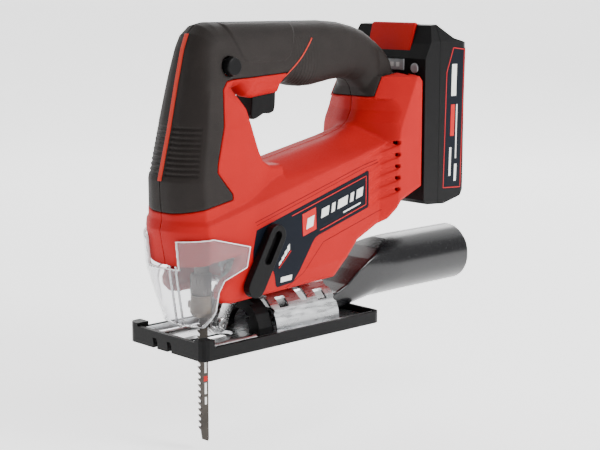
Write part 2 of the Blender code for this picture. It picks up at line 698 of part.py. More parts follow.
# ---- drive ----------------------------------------------------------------------------------------------
def gear_outline(teeth, centre, start=0.0):
    """A coarse gear whose teeth leave room at the mesh."""
    pitch = GEAR_MODULE * teeth / 2
    points = []
    for i in range(teeth):
        angle = start + 360.0 * i / teeth
        step = 360.0 / teeth
        root, tip = pitch - 0.95, pitch + 0.6
        for radius, at in ((root, -0.30), (tip, -0.10), (tip, 0.10), (root, 0.30)):
            points += arc(centre, radius, angle + at * step, angle + at * step, 1)[:1]
    return points


def drive_gear():
    centre = (0.0, GEAR_Z)
    gear = extruded("drive_gear", gear_outline(GEAR_TEETH, centre, 90.0), GEAR_FRONT, GEAR_BACK, "X")
    gear = cut(gear, ring("dish", 16.5, 7.5, -28.0, -20.0, "X", centre, 32))
    crank = rod("crank", 2.5, GEAR_FRONT - 3.6, GEAR_FRONT + 1, "X", (0.0, GEAR_Z - STROKE / 2), 16)
    gear = joined(gear, crank)
    return cut(gear, rod("bore", 3.4, -40, 0, "X", centre, 20))


def motor_parts(saw):
    centre = (0.0, MOTOR_Z)
    teeth = gear_outline(PINION_TEETH, centre, 90.0 + 18.0)
    pinion = extruded("pinion", teeth, GEAR_FRONT, GEAR_BACK + 0.5, "X")
    pinion = cut(pinion, rod("bore", 1.9, -40, 0, "X", centre, 12))
    saw.add(pinion, "motor_pinion", "motor_rotor", "dark_steel")
    saw.add(rod("shaft", 1.6, -33.0, 50.0, "X", centre, 12), "motor_shaft", "motor_rotor", "bright_steel")
    can = ring("can", MOTOR_RADIUS, MOTOR_RADIUS - 1.4, -12.0, 43.0, "X", centre, 32)
    face = ring("face", MOTOR_RADIUS - 0.5, 3.0, -12.0, -10.5, "X", centre, 32)
    can = joined(can, face)
    for middle in (0, 180):  # the two magnets
        outer = arc(centre, 17.6, middle - 60, middle + 60, 14)
        outline = outer + arc(centre, 12.4, middle + 60, middle - 60, 14)
        can = joined(can, extruded("magnet", outline, -2.0, 25.0, "X"))
    for side in (-1, 1):
        can = cut(can, rod("can_window", 3.0, -60, 60, "Y", (30.0, MOTOR_Z + 7.0 * side), 12))
    saw.add(can, "motor_can", "housing", "dark_steel")
    core = ring("core", 10.5, 1.9, 0.0, 26.0, "X", centre, 24)
    for i in range(5):
        (y, z), = arc(centre, 10.8, 90 + 72 * i, 90 + 72 * i, 1)[:1]
        core = cut(core, rod("slot", 2.0, -5, 40, "X", (y, z), 10))
    core = joined(core, ring("commutator", 5.5, 1.9, 25.5, 41.0, "X", centre, 20))
    saw.add(core, "motor_armature", "motor_rotor", "dark_steel")
    cap = softened(rod("cap", MOTOR_RADIUS - 1.0, 43.4, 49.0, "X", centre, 32), 1.0)
    cap = cut(cap, rod("bore", 2.2, 40, 60, "X", centre, 12))
    saw.add(cap, "motor_end_cap", "housing", "black_plastic")
    fan = ring("hub", 5.0, 1.9, -19.5, -13.5, "X", centre, 20)
    for i in range(9):
        angle = math.radians(40 * i)
        blade = box("blade", (-19.5, -0.7, 4.0), (-14.3, 0.7, 14.0))
        blade.matrix_world = (
            Matrix.Translation((0, 0, MOTOR_Z * MM)) @ Matrix.Rotation(angle, 4, "X")
        )
        fan = joined(fan, baked(blade, weld=False))
    fan = joined(fan, ring("disc", 14.5, 1.9, -14.4, -13.2, "X", centre, 28))
    saw.add(fan, "cooling_fan", "motor_rotor", "black_plastic")


def gearbox_frame():
    """Cast plate behind the gear, with lugs below for the roller fork."""
    plate = extruded("gearbox_frame", rounded_box_outline((-21.0, 55.0), (21.0, 112.0), 4.0), -24.6, -21.4, "X")
    for low, high in ((-9.6, -6.6), (6.6, 9.6)):
        lug = [(-24.6, 60.0), (-26.0, 46.0)] + arc(FORK_PIVOT, 5.0, 180, 360, 10)
        lug += [(-15.0, 50.0), (-21.4, 58.0)]
        plate = joined(plate, extruded("lug", lug, low, high, "Y"))
    plate = joined(plate, rod("axle", 2.9, -31.6, -22.0, "X", (0, GEAR_Z), 20))
    plate = cut(plate, rod("pinion_hole", 5.6, -40, 0, "X", (0, MOTOR_Z), 20),
                rod("pin_hole", 2.2, -20, 20, "Y", FORK_PIVOT, 16))
    return plate


def make_drive(saw):
    saw.add(drive_gear(), "drive_gear", "drive_gear", "dark_steel")
    motor_parts(saw)
    saw.add(gearbox_frame(), "gearbox_frame", "housing", "cast_aluminium")
    saw.add(rod("pin", 1.9, -10.6, 10.6, "Y", FORK_PIVOT, 16), "fork_pivot_pin", "housing", "bright_steel")

    lower = extruded("lower", [(-65.0, -9.0), (-58.0, -19.0), (-39.0, -19.0), (-39.0, 19.0), (-58.0, 19.0),
                               (-65.0, 9.0)], 66.6, 73.8, "Z")
    upper = extruded("upper", [(-64.0, -6.0), (-58.0, -11.0), (-40.0, -11.0), (-40.0, 11.0), (-58.0, 11.0),
                               (-64.0, 6.0)], 142.0, 152.0, "Z")
    for bush, name in ((lower, "lower_bush_block"), (upper, "upper_bush_block")):
        bush = cut(bush, rod("bore", PLUNGER_RADIUS + GAP, 0, 170, "Z", (PLUNGER_X, 0), 32),
                   rod("rod_bore", 2.0 + GAP, 0, 170, "Z", (-60.0, 0), 16))
        saw.add(bush, name, "housing", "cast_aluminium")
    saw.add(rod("rod", 2.0, 66.0, 151.0, "Z", (-60.0, 0), 16), "counterweight_rod", "housing", "bright_steel")
    weight = softened(box("weight", (-64.3, -9.0, 116.0), (-55.4, 9.0, 138.0)), 1.5)
    weight = cut(weight, rod("bore", 2.4, 100, 150, "Z", (-60.0, 0), 16))
    saw.add(weight, "counterweight", "counterweight", "dark_steel")

    saw.add(rod("plunger", PLUNGER_RADIUS, 46.4, 156.0, "Z", (PLUNGER_X, 0), 32), "plunger", "plunger",
            "bright_steel")
    yoke = joined(box("yoke", (-41.9, -15.5, 75.0), (-36.5, 15.5, 89.0)),
                  box("hub", (-53.9, -8.0, 76.5), (-40.0, 8.0, 87.5)))
    yoke = softened(yoke, 0.8, 1)
    slot = rounded_box_outline((-13.2, GEAR_Z - 13.0), (13.2, GEAR_Z - 7.0), 2.9, 4)
    yoke = cut(yoke, extruded("slot", slot, -39.6, -30.0, "X"),
               rod("bore", PLUNGER_RADIUS + GAP, 60, 100, "Z", (PLUNGER_X, 0), 32))
    saw.add(yoke, "scotch_yoke", "plunger", "dark_steel")

    holder = rod("holder", 7.4, 32.5, 46.0, "Z", (PLUNGER_X, 0), 32)
    holder = softened(holder, 1.0)
    holder = joined(holder, rod("stem", 4.0, 17.5, 33.5, "Z", (PLUNGER_X, 0), 24))
    holder = cut(holder, box("blade_slot", (-56.0, -0.95, 10.0), (-40.0, 0.95, 34.6)))
    saw.add(holder, "clamp_holder", "plunger", "dark_steel")
    collar = rod("collar", 7.7, 21.0, 27.0, "Z", (PLUNGER_X, 0), 32)
    collar = joined(collar, rod("taper", 6.0, 18.2, 21.01, "Z", (PLUNGER_X, 0), 32, 7.7),
                    rod("ring", 7.2, 26.5, 32.1, "Z", (PLUNGER_X, 0), 32))
    collar = joined(collar, box("tab", (-49.5, 6.5, 22.0), (-45.5, 12.0, 26.5)))
    collar = cut(collar, rod("bore", 4.35, 0, 60, "Z", (PLUNGER_X, 0), 24))
    saw.add(collar, "blade_clamp", "blade_clamp", "dark_steel")
    saw.add(saw_blade(), "blade", "plunger", "dark_steel")


def saw_blade():
    """Shank with two lugs, and teeth that lean upwards along the front."""
    back, front = BLADE_BACK_X, BLADE_BACK_X - BLADE_WIDTH
    outline = [(back - 0.8, 16.8), (back - 0.9, 30.0), (back - 0.3, 30.6), (back - 0.3, 32.6), (back - 0.9, 33.4),
               (back - 1.6, 34.2), (front + 1.6, 34.2), (front + 0.9, 33.4), (front + 0.3, 32.6),
               (front + 0.3, 30.6), (front + 0.9, 30.0), (front + 0.8, 16.8), (front + 1.2, 15.5)]
    top, gullet = 13.0, 2.2
    count = 18
    for i in range(count):
        z = top - i * TOOTH_PITCH
        outline += [(front + gullet, z), (front, z + 0.5), (front + 0.5, z - 0.9), (front + gullet, z - 2.9)]
    outline += [(front + gullet, top - count * TOOTH_PITCH), (front + 3.0, BLADE_TIP_Z + 2.0),
                (back - 0.6, BLADE_TIP_Z), (back, BLADE_TIP_Z + 1.5), (back, 16.0)]
    return extruded("blade", outline, -BLADE_THICKNESS / 2, BLADE_THICKNESS / 2, "Y")


# ---- handle: switch, trigger, lock button, lamp and control board ----------------------------------------
def make_controls(saw):
    outline = [(-11.0, 166.0), (-11.0, 158.0), (-12.0, 144.5), (-10.5, 141.6), (-7.0, 142.2), (-1.0, 145.0),
               (4.0, 144.6), (7.6, 145.8), (8.6, 150.0), (9.0, 158.0), (9.0, 166.0)]
    trigger = softened(extruded("trigger", outline, -8.2, 8.2, "Y"), 1.6, 2, 50.0)
    saw.add(trigger, "trigger", "trigger", "black_plastic")
    lock = joined(softened(rod("lock", 5.6, -24.6, -18.0, "Y", LOCK_BUTTON, 24), 0.9),
                  rod("stem", 3.6, -18.5, -9.0, "Y", LOCK_BUTTON, 16))
    saw.add(lock, "lock_button", "lock_button", "black_plastic")
    switch = softened(box("switch", (-14.0, -8.5, 172.5), (20.0, 8.5, 187.0)), 1.0, 1)
    plunger = box("tongue", (-4.0, -3.0, 171.5), (2.0, 3.0, 173.0))
    saw.add(joined(switch, plunger), "switch_module", "housing", "black_plastic")
    board = box("board", (24.0, -10.0, 176.0), (52.0, 10.0, 177.6))
    for i in range(4):
        board = joined(board, box("fin", (28.0, -7.6 + 4.4 * i, 177.0), (46.0, -5.6 + 4.4 * i, 186.0)))
    saw.add(board, "speed_board", "housing", "green_board")
    for side, name, material in ((-1, "wire_red", "red_wire"), (1, "wire_black", "black_wire")):
        route = [(96.2, 5.0 * side, 118.0), (93.5, 5.0 * side, 124.0), (92.5, 6.0 * side, 140.0),
                 (90.0, 7.0 * side, 160.0), (84.0, 7.0 * side, 172.0), (70.0, 6.0 * side, 174.0),
                 (53.5, 5.0 * side, 174.0), (21.5, 4.0 * side, 174.4)]
        saw.add(tube(name, route, 1.0), name, "housing", material)


# ---- dust pipe ------------------------------------------------------------------------------------------
def pipe_section(x, half_width, half_height, middle_z, blend, count=24):
    """One ring of the pipe: blend 0 is a flat duct, 1 is round."""
    points = []
    for i in range(count):
        angle = math.radians(360.0 * i / count)
        power = 0.45 + 0.55 * blend
        c, s = math.cos(angle), math.sin(angle)
        y = math.copysign(abs(c) ** power, c) * half_width
        z = math.copysign(abs(s) ** power, s) * half_height
        points.append((x, y, middle_z + z))
    return points


def dust_pipe():
    stations = [(0.0, 14.0, 4.7, 12.9, 0.0), (48.0, 14.0, 4.7, 12.9, 0.0), (66.0, 14.0, 7.0, 15.3, 0.1),
                (84.0, 15.0, 10.6, 20.6, 0.3), (104.0, 17.5, 16.5, 25.0, 0.6), (128.0, 20.5, 20.5, 30.0, 1.0),
                (PIPE_BACK, 20.5, 20.5, 30.0, 1.0)]
    outer = loft("dust_pipe", [pipe_section(*s) for s in stations])
    inner = []
    for i, (x, width, height, middle, blend) in enumerate(stations):
        x += {0: -2.0, len(stations) - 1: 2.0}.get(i, 0.0)
        inner.append(pipe_section(x, width - 1.9, height - 1.9, middle, blend))
    return cut(outer, loft("inside", inner))


def make_dust_pipe(saw):
    saw.add(dust_pipe(), "dust_pipe", "dust_pipe", "black_plastic", 30.0)


# ---- clamp of the bevel bracket and the foot --------------------------------------------------------------
def make_bevel_clamp(saw):
    centre = (0.0, TILT_AXIS_Z)
    washer = arc(centre, TUNNEL_RADIUS - TUNNEL_WALL - GAP, 68, 112, 8) + arc(
        centre, TUNNEL_RADIUS - TUNNEL_WALL - 2.3, 112, 68, 8)
    washer = cut(extruded("washer", washer, 12.0, 32.0, "X"), rod("hole", 3.0, 0, 60, "Z", (22, 0), 20))
    saw.add(washer, "bevel_clamp_washer", "housing", "zinc_steel")
    head = extruded("screw", arc((22.0, 0.0), 5.6, 0, 300, 5), 20.6, 26.9, "Z")
    screw = joined(head, rod("shank", 2.6, 26.0, 45.5, "Z", (22.0, 0.0), 20))
    screw = cut(screw, extruded("hex_socket", arc((22.0, 0.0), 2.9, 0, 300, 5), 18.0, 24.0, "Z"))
    saw.add(screw, "bevel_clamp_screw", "clamp_screw", "dark_steel")

    arch = arc(centre, 25.0, 3, 177, 16) + arc(centre, 15.0, 175, 5, 12)
    foot = extruded("foot", arch, -20.3, -8.7, "X")
    feet = [box("foot_pad", (-20.3, 14.0 * s - 9.0 * (s < 0) - 0.0, PLATE_HIGH + GAP),
                (-8.7, 14.0 * s + 9.0 * (s > 0), PLATE_HIGH + 3.0)) for s in (-1, 1)]
    foot = joined(foot, *feet)
    fork_room = box("fork_room", (-21.0, -14.5, 14.0), (-16.6, 14.5, 30.0))
    trim = box("trim", (-60, -60, -60), (60, 60, PLATE_HIGH + GAP))
    saw.add(cut(foot, trim, fork_room), "foot_frame", "base", "black_plastic")


# ---- battery --------------------------------------------------------------------------------------------
BATTERY_SIDE = [(BATTERY_FRONT, 79.0), (BATTERY_FRONT, 176.5), (124.5, 186.5), (129.0, 199.0), (134.5, 199.5),
                (149.0, 190.0), (162.5, 186.5), (BATTERY_BACK, 184.0), (160.8, 83.0), (157.5, 79.0),
                (140.0, 75.0), (123.0, 76.0)]
RELEASE_SIDE = [(121.4, 178.0), (127.4, 200.6), (131.0, 200.6), (131.0, 178.0)]


def battery_envelope(depth):
    outline = inset(BATTERY_SIDE, depth)
    solid = extruded("battery", outline, -BATTERY_HALF_WIDTH + depth, BATTERY_HALF_WIDTH - depth, "Y")
    top = [(BATTERY_HALF_WIDTH + 2, 60.0), (BATTERY_HALF_WIDTH + 2, 183.0), (33.0, 201.0), (20.0, 210.0)]
    corner = extruded("shoulders", inset(mirrored(top), depth), 100.0, 200.0, "X")
    edge = BATTERY_HALF_WIDTH - depth
    plan = rounded_box_outline((110.0, -edge), (BATTERY_BACK - depth, edge), 6.0)
    return common(common(solid, corner), extruded("plan", plan, 40.0, 240.0, "Z"))


def make_battery(saw):
    outer = battery_envelope(0.0)
    rail = joined(box("rail_wide", (111.4, -29.5, 86.6), (114.2, 29.5, 158.0)),
                  box("rail_neck", (113.5, -25.6, 86.6), (122.0, 25.6, 158.0)))
    outer = joined(outer, rail)
    release_gap = joined(extruded("release_gap", inset(RELEASE_SIDE, -GAP), -20.9, 20.9, "Y"),
                         box("release_travel", (125.0, -20.9, 177.7), (133.6, 20.9, 202.0)))
    outer = cut(outer, release_gap, battery_envelope(2.6),
                rod("button_hole", 3.8, 100, 123.5, "X", (-28.0, 170.0), 20),
                box("panel_seat", (118.0, -18.3, 167.7), (123.5, 18.3, 176.3)))
    for y in (-8.0, 8.0):
        outer = cut(outer, box("contact_slot", (110.0, y - 1.2, 80.0), (117.5, y + 1.2, 130.0)))
    halves = (("battery_case_front", 100.0, BATTERY_SPLIT), ("battery_case_rear", BATTERY_SPLIT + GAP, 180.0))
    for name, low, high in halves:
        half = common(copy_of(outer), box("half", (low, -FAR, -FAR), (high, FAR, 2 * FAR)))
        saw.add(largest_piece(half), name, "battery", "black_plastic")
    bpy.data.objects.remove(outer)
    release = softened(extruded("release", RELEASE_SIDE, -20.3, 20.3, "Y"), 1.2)
    saw.add(release, "battery_release_button", "battery_release", "red_plastic")
    panel = softened(box("panel", (119.6, -18.0, 168.0), (122.4, 18.0, 176.0)), 0.5, 1)
    saw.add(panel, "charge_panel", "battery", "cast_aluminium")
    saw.add(softened(rod("charge", 3.4, 118.7, 122.0, "X", (-28.0, 170.0), 20), 0.4), "charge_button",
            "charge_button", "cast_aluminium")
    cells = [(132.0, 92.0), (149.2, 102.0), (132.0, 112.0), (149.2, 122.0), (132.0, 132.0)]
    for i, place in enumerate(cells):
        cell = softened(rod("cell", CELL_RADIUS, -CELL_HALF_LENGTH, CELL_HALF_LENGTH, "Y", place, 24), 0.6, 1)
        saw.add(cell, "battery_cell_%d" % (i + 1), "battery", "cell_wrap")


def make_terminals(saw):
    block = softened(box("terminals", (97.5, -14.0, 94.6), (110.4, 14.0, 123.4)), 0.6, 1)
    for y in (-8.0, 8.0):
        block = joined(block, box("contact", (109.0, y - 0.5, 97.0), (116.5, y + 0.5, 121.0)))
    saw.add(block, "terminal_block", "housing", "brass")


def make_screws(saw):
    for i, (x, z) in enumerate(SCREW_PLACES):
        head = softened(rod("screw", 3.2, 9.4, 12.4, "Y", (x, z), 16), 0.5, 1)
        screw = joined(head, rod("shank", 1.6, -14.0, 10.0, "Y", (x, z), 12))
        star = [p for k in range(6) for p in (arc((x, z), 1.7, 60 * k, 60 * k, 1)[:1]
                                              + arc((x, z), 1.2, 60 * k + 30, 60 * k + 30, 1)[:1])]
        screw = cut(screw, extruded("star", star, 11.2, 14.0, "Y"))
        saw.add(screw, "housing_screw_%d" % (i + 1), "housing", "dark_steel")


def build():
    clear_scene()
    saw = Assembly("jigsaw")
    saw.body("base")
    saw.body("housing", (0.0, 0.0, TILT_AXIS_Z))
    saw.body("chip_guard")
    saw.body("orbital_lever", (LEVER_PIVOT[0], -34.0, LEVER_PIVOT[1]))
    saw.body("roller_fork", (FORK_PIVOT[0], 0.0, FORK_PIVOT[1]))
    saw.body("guide_roller", (ROLLER_X, 0.0, ROLLER_Z))
    saw.body("motor_rotor", (0.0, 0.0, MOTOR_Z))
    saw.body("drive_gear", (GEAR_BACK, 0.0, GEAR_Z))
    saw.body("plunger", (PLUNGER_X, 0.0, 46.0))
    saw.body("blade_clamp", (PLUNGER_X, 0.0, 25.0))
    saw.body("counterweight", (-60.0, 0.0, 127.0))
    saw.body("trigger", (0.0, 0.0, 155.0))
    saw.body("lock_button", (LOCK_BUTTON[0], -20.0, LOCK_BUTTON[1]))
    saw.body("clamp_screw", (22.0, 0.0, 30.0))
    saw.body("dust_pipe", (60.0, 0.0, PIPE_Z))
    saw.body("battery", (BATTERY_FRONT, 0.0, 130.0))
    saw.body("battery_release", (126.0, 0.0, 189.0))
    saw.body("charge_button", (120.0, -28.0, 170.0))
    make_base(saw)
    make_housing(saw)
    make_guides(saw)
    make_drive(saw)
    make_controls(saw)
    make_dust_pipe(saw)
    make_bevel_clamp(saw)
    make_battery(saw)
    make_terminals(saw)
    make_screws(saw)


if __name__ == "__main__":
    build()
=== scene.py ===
"""Looks of the cordless jigsaw: moulded shells, grips, guard, pipe, battery details and materials.

Lengths are in millimetres and become metres where a mesh is made. The front of the saw is at -X, its left
side at -Y, and z = 0 is the sole of the shoe. Moulded pieces are drawn as distance fields: negative inside.
"""

import json
import math

import bmesh
import bpy
import numpy as np
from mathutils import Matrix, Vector


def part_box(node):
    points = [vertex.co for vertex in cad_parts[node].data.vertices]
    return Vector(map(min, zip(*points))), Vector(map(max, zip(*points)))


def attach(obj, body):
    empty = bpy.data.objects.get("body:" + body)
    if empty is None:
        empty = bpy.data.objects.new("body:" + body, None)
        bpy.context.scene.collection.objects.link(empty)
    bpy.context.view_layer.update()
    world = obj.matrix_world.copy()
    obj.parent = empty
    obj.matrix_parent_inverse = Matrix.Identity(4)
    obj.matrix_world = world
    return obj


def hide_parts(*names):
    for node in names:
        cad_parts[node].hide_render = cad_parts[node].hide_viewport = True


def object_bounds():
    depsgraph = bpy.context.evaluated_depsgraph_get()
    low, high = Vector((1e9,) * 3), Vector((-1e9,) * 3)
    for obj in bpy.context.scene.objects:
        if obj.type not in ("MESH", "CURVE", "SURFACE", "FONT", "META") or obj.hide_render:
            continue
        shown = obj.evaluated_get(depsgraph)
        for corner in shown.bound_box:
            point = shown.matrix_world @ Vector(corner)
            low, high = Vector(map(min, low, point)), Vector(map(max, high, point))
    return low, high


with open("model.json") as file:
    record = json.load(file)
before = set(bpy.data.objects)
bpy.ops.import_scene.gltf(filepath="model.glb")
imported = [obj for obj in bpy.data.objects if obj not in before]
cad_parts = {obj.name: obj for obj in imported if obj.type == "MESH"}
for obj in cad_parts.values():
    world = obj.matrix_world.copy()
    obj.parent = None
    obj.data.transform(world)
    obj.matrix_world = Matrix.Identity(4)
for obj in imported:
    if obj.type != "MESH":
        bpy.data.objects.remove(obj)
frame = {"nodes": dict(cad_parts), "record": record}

CAD_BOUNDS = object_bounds()
MM = 0.001
VOXEL = 0.75  # grid of the moulded pieces
SEAM = 0.15  # half of the gap where two mouldings meet


def low_mm(node, axis):
    """Lower bound of a CAD node along one axis."""
    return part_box(node)[0][axis] / MM


def high_mm(node, axis):
    """Upper bound of a CAD node along one axis."""
    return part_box(node)[1][axis] / MM


# ---- driving dimensions ---------------------------------------------------------------------------------
BODY_HALF_WIDTH = 31.0
BATTERY_HALF_WIDTH = high_mm("battery_case_rear", 1)
WALL = 3.8
LEVER_PIVOT = (-33.0, 40.0)
LEVER_HOLE = 3.8
LOCK_BUTTON = (-39.0, 177.0)
LOCK_HOLE = 6.3
TUNNEL_RADIUS, TUNNEL_Z = 28.5, 3.0
SCREW_PLACES = [(-70.5, 70.0), (-33.0, 128.0), (-27.0, 191.0), (62.0, 183.0), (16.0, 99.0), (80.0, 100.0)]
SCREW_HOLE, SCREW_HOLE_FLOOR = 3.7, 9.0

# Boxes cut from the shells, each as its low and high corner.
SHELL_ROOMS = [
    ((-61.0, -24.5, 20.0), (-11.0, 24.5, 64.5)),  # plunger, roller fork and blade
    ((-24.0, -8.8, 150.0), (11.5, 8.8, 172.0)),  # trigger
    ((111.0, -30.0, 86.0), (114.6, 30.0, 190.0)),  # rails of the battery
    ((114.0, -26.0, 86.0), (130.0, 26.0, 190.0)),  # mouth of the battery seat
    ((96.0, -14.5, 94.0), (112.0, 14.5, 124.0)),  # terminal block
]
BOLT_ROOM_X, BOLT_ROOM_RADIUS, BOLT_ROOM_LOW, BOLT_ROOM_HIGH = 22.0, 3.2, 20.0, 46.0

# Side outline of the shells as (x, z), and the opening for the hand.
SIDE_OUTLINE = [
    (-76.0, 55.0), (-78.5, 68.0), (-80.3, 77.5), (-78.6, 84.0), (-79.6, 96.0), (-80.0, 108.0), (-72.0, 139.0),
    (-65.5, 168.0), (-60.5, 188.0), (-57.0, 197.0), (-51.0, 202.5), (-44.0, 204.0), (52.0, 203.5),
    (68.0, 202.3), (80.0, 199.8), (88.0, 197.0), (94.0, 193.5), (99.0, 189.0), (103.5, 182.5), (107.5, 174.0),
    (110.0, 167.0), (115.0, 166.5), (119.0, 162.0), (119.0, 89.0), (99.0, 81.0), (89.0, 69.0), (63.0, 57.0),
    (43.0, 34.5), (-46.0, 30.0), (-54.0, 31.5), (-58.0, 36.0), (-58.0, 41.0), (-54.0, 46.0), (-45.0, 51.0),
    (-41.0, 60.0), (-62.0, 58.0),
]
HAND_OPENING = [
    (-33.0, 163.0), (-28.0, 153.0), (-17.8, 124.0), (-14.5, 117.5), (-8.0, 113.6), (0.0, 113.4),
    (60.0, 125.6), (75.0, 129.8), (82.0, 134.5), (85.6, 142.0), (86.0, 150.0), (84.0, 157.5),
    (80.0, 162.5), (73.0, 164.4), (60.0, 163.4), (40.0, 160.8), (30.0, 160.5), (23.0, 162.0),
    (16.0, 163.5), (11.0, 161.5), (7.0, 157.8), (-16.0, 156.0), (-24.0, 157.5), (-29.0, 163.0),
]
GRIP_REGION = [
    (-95.0, 84.0), (-66.0, 91.5), (-44.0, 95.5), (-44.0, 99.0), (-55.0, 113.0), (-54.5, 118.0),
    (-48.0, 141.0), (-46.0, 163.0), (-41.5, 168.0), (-33.0, 168.8), (12.0, 171.0), (9.5, 165.0),
    (4.0, 150.0), (67.0, 150.0), (72.0, 153.0), (84.0, 151.0), (101.0, 154.5), (107.5, 166.5),
    (120.0, 168.0), (120.0, 215.0), (-95.0, 215.0),
]
THUMB_PAD = [(-36.0, 203.0), (-33.0, 193.0), (-28.0, 182.5), (-23.5, 179.0), (8.0, 179.0), (12.5, 182.0),
             (21.0, 203.0)]
LEVER_FIELD = [(-40.0, 33.0), (-26.0, 33.0), (-5.0, 68.0), (-6.0, 77.0), (-14.0, 80.0), (-28.0, 76.0),
               (-31.0, 59.0), (-41.0, 44.0)]
LABEL = [(-28.0, 75.0), (71.0, 103.7), (72.0, 103.0), (72.0, 80.0), (71.2, 78.8), (25.0, 65.4), (22.5, 64.0),
         (20.0, 61.0), (4.5, 38.0), (3.0, 37.0), (-9.5, 35.6), (-11.0, 37.0), (-14.0, 47.0), (-31.0, 56.0),
         (-31.0, 62.0)]
BODY_LINE = [(-29.0, 80.0), (-25.0, 81.2), (66.0, 107.6), (80.0, 110.5)]


# ---- distance fields ------------------------------------------------------------------------------------
def polygon(u, v, outline):
    """Signed distance to a closed outline, negative inside."""
    shape = np.broadcast(u, v).shape
    nearest = np.full(shape, 1e9, np.float32)
    inside = np.zeros(shape, bool)
    for (u0, v0), (u1, v1) in zip(outline, outline[1:] + outline[:1]):
        eu, ev = u1 - u0, v1 - v0
        share = np.clip(((u - u0) * eu + (v - v0) * ev) / (eu * eu + ev * ev), 0, 1)
        nearest = np.minimum(nearest, (u - u0 - share * eu) ** 2 + (v - v0 - share * ev) ** 2)
        if abs(ev) > 1e-9:
            crosses = (v0 > v) != (v1 > v)
            inside ^= crosses & (u < u0 + (v - v0) / ev * eu)
    return np.where(inside, -1, 1) * np.sqrt(nearest)


def smooth_max(a, b, radius):
    """The larger of two fields, with the edge between them rounded."""
    near = np.maximum(radius - np.abs(a - b), 0) / radius
    return np.maximum(a, b) + near * near * radius * 0.25


def smooth_min(a, b, radius):
    """The smaller of two fields, with the hollow between them rounded."""
    return -smooth_max(-a, -b, radius)


def box_field(x, y, z, low, high):
    """Box between two corners."""
    outside = [np.maximum(lo - c, c - hi) for c, lo, hi in zip((x, y, z), low, high)]
    return np.maximum(np.maximum(outside[0], outside[1]), outside[2])


def rod_field(u, v, centre, radius):
    """Endless round rod seen along its axis."""
    return np.hypot(u - centre[0], v - centre[1]) - radius


def bar_field(u, v, start, end):
    """Distance to a straight line between two points."""
    eu, ev = end[0] - start[0], end[1] - start[1]
    share = np.clip(((u - start[0]) * eu + (v - start[1]) * ev) / (eu * eu + ev * ev), 0, 1)
    return np.hypot(u - start[0] - share * eu, v - start[1] - share * ev)


def surface_net(values, origin, step):
    """Vertices and quads where a sampled field is zero, one vertex in each mixed cell."""
    inside = values < 0
    cells = tuple(n - 1 for n in values.shape)
    corners = [(i, j, k) for i in (0, 1) for j in (0, 1) for k in (0, 1)]

    def corner(array, offset):
        return array[tuple(slice(o, o + n) for o, n in zip(offset, cells))]

    total = np.zeros(cells, np.int8)
    for offset in corners:
        total += corner(inside, offset)
    mixed = np.argwhere((total > 0) & (total < 8))
    index = np.full(cells, -1, np.int64)
    index[tuple(mixed.T)] = np.arange(len(mixed))
    place = np.zeros((len(mixed), 3))
    count = np.zeros(len(mixed))
    for first in corners:
        for axis in range(3):
            if first[axis]:
                continue
            second = tuple(o + (a == axis) for a, o in enumerate(first))
            fa = values[tuple((mixed + first).T)]
            fb = values[tuple((mixed + second).T)]
            crossed = (fa < 0) != (fb < 0)
            share = np.where(crossed, fa / np.where(crossed, fa - fb, 1), 0)
            offset = np.tile(np.array(first, float), (len(mixed), 1))
            offset[:, axis] += share
            place += offset * crossed[:, None]
            count += crossed
    points = np.array(origin) + step * (mixed + place / count[:, None])
    quads = []
    for axis in range(3):
        lower = [slice(None)] * 3
        upper = [slice(None)] * 3
        lower[axis], upper[axis] = slice(0, -1), slice(1, None)
        for a in range(3):
            if a != axis:
                lower[a] = upper[a] = slice(1, -1)
        a, b = inside[tuple(lower)], inside[tuple(upper)]
        where = np.argwhere(a != b)
        leaving = a[tuple(where.T)]
        for other in range(3):
            if other != axis:
                where[:, other] += 1
        u, v = [o for o in range(3) if o != axis]
        ring = []
        for du, dv in ((-1, -1), (0, -1), (0, 0), (-1, 0)):
            cell = where.copy()
            cell[:, u] += du
            cell[:, v] += dv
            ring.append(index[tuple(cell.T)])
        ring = np.stack(ring, 1)
        flip = leaving if axis == 1 else ~leaving
        ring[flip] = ring[flip][:, ::-1]
        quads.append(ring)
    return points, np.concatenate(quads)


def settled(field, points, step):
    """Points moved onto the zero of a field along its slope."""
    points = points.astype(np.float64)
    for _ in range(2):
        x, y, z = points.T
        here = field(x, y, z)
        tiny = 0.02
        slope = np.stack([field(x + tiny, y, z) - here, field(x, y + tiny, z) - here,
                          field(x, y, z + tiny) - here], 1) / tiny
        length = np.maximum((slope ** 2).sum(1), 0.25)
        move = -slope * (here / length)[:, None]
        size = np.linalg.norm(move, axis=1)
        move *= np.minimum(1, 0.6 * step / np.maximum(size, 1e-9))[:, None]
        points = points + move
    return points


def mesh_object(name, points, faces):
    """A mesh from points in millimetres and an array with one row per face."""
    mesh = bpy.data.meshes.new(name)
    mesh.vertices.add(len(points))
    mesh.vertices.foreach_set("co", (np.asarray(points) * MM).astype(np.float32).ravel())
    sides = faces.shape[1]
    mesh.loops.add(faces.size)
    mesh.loops.foreach_set("vertex_index", faces.astype(np.int32).ravel())
    mesh.polygons.add(len(faces))
    mesh.polygons.foreach_set("loop_start", np.arange(0, faces.size, sides, dtype=np.int32))
    mesh.update(calc_edges=True)
    mesh.validate()
    mesh.shade_smooth()
    item = bpy.data.objects.new(name, mesh)
    bpy.context.scene.collection.objects.link(item)
    return item


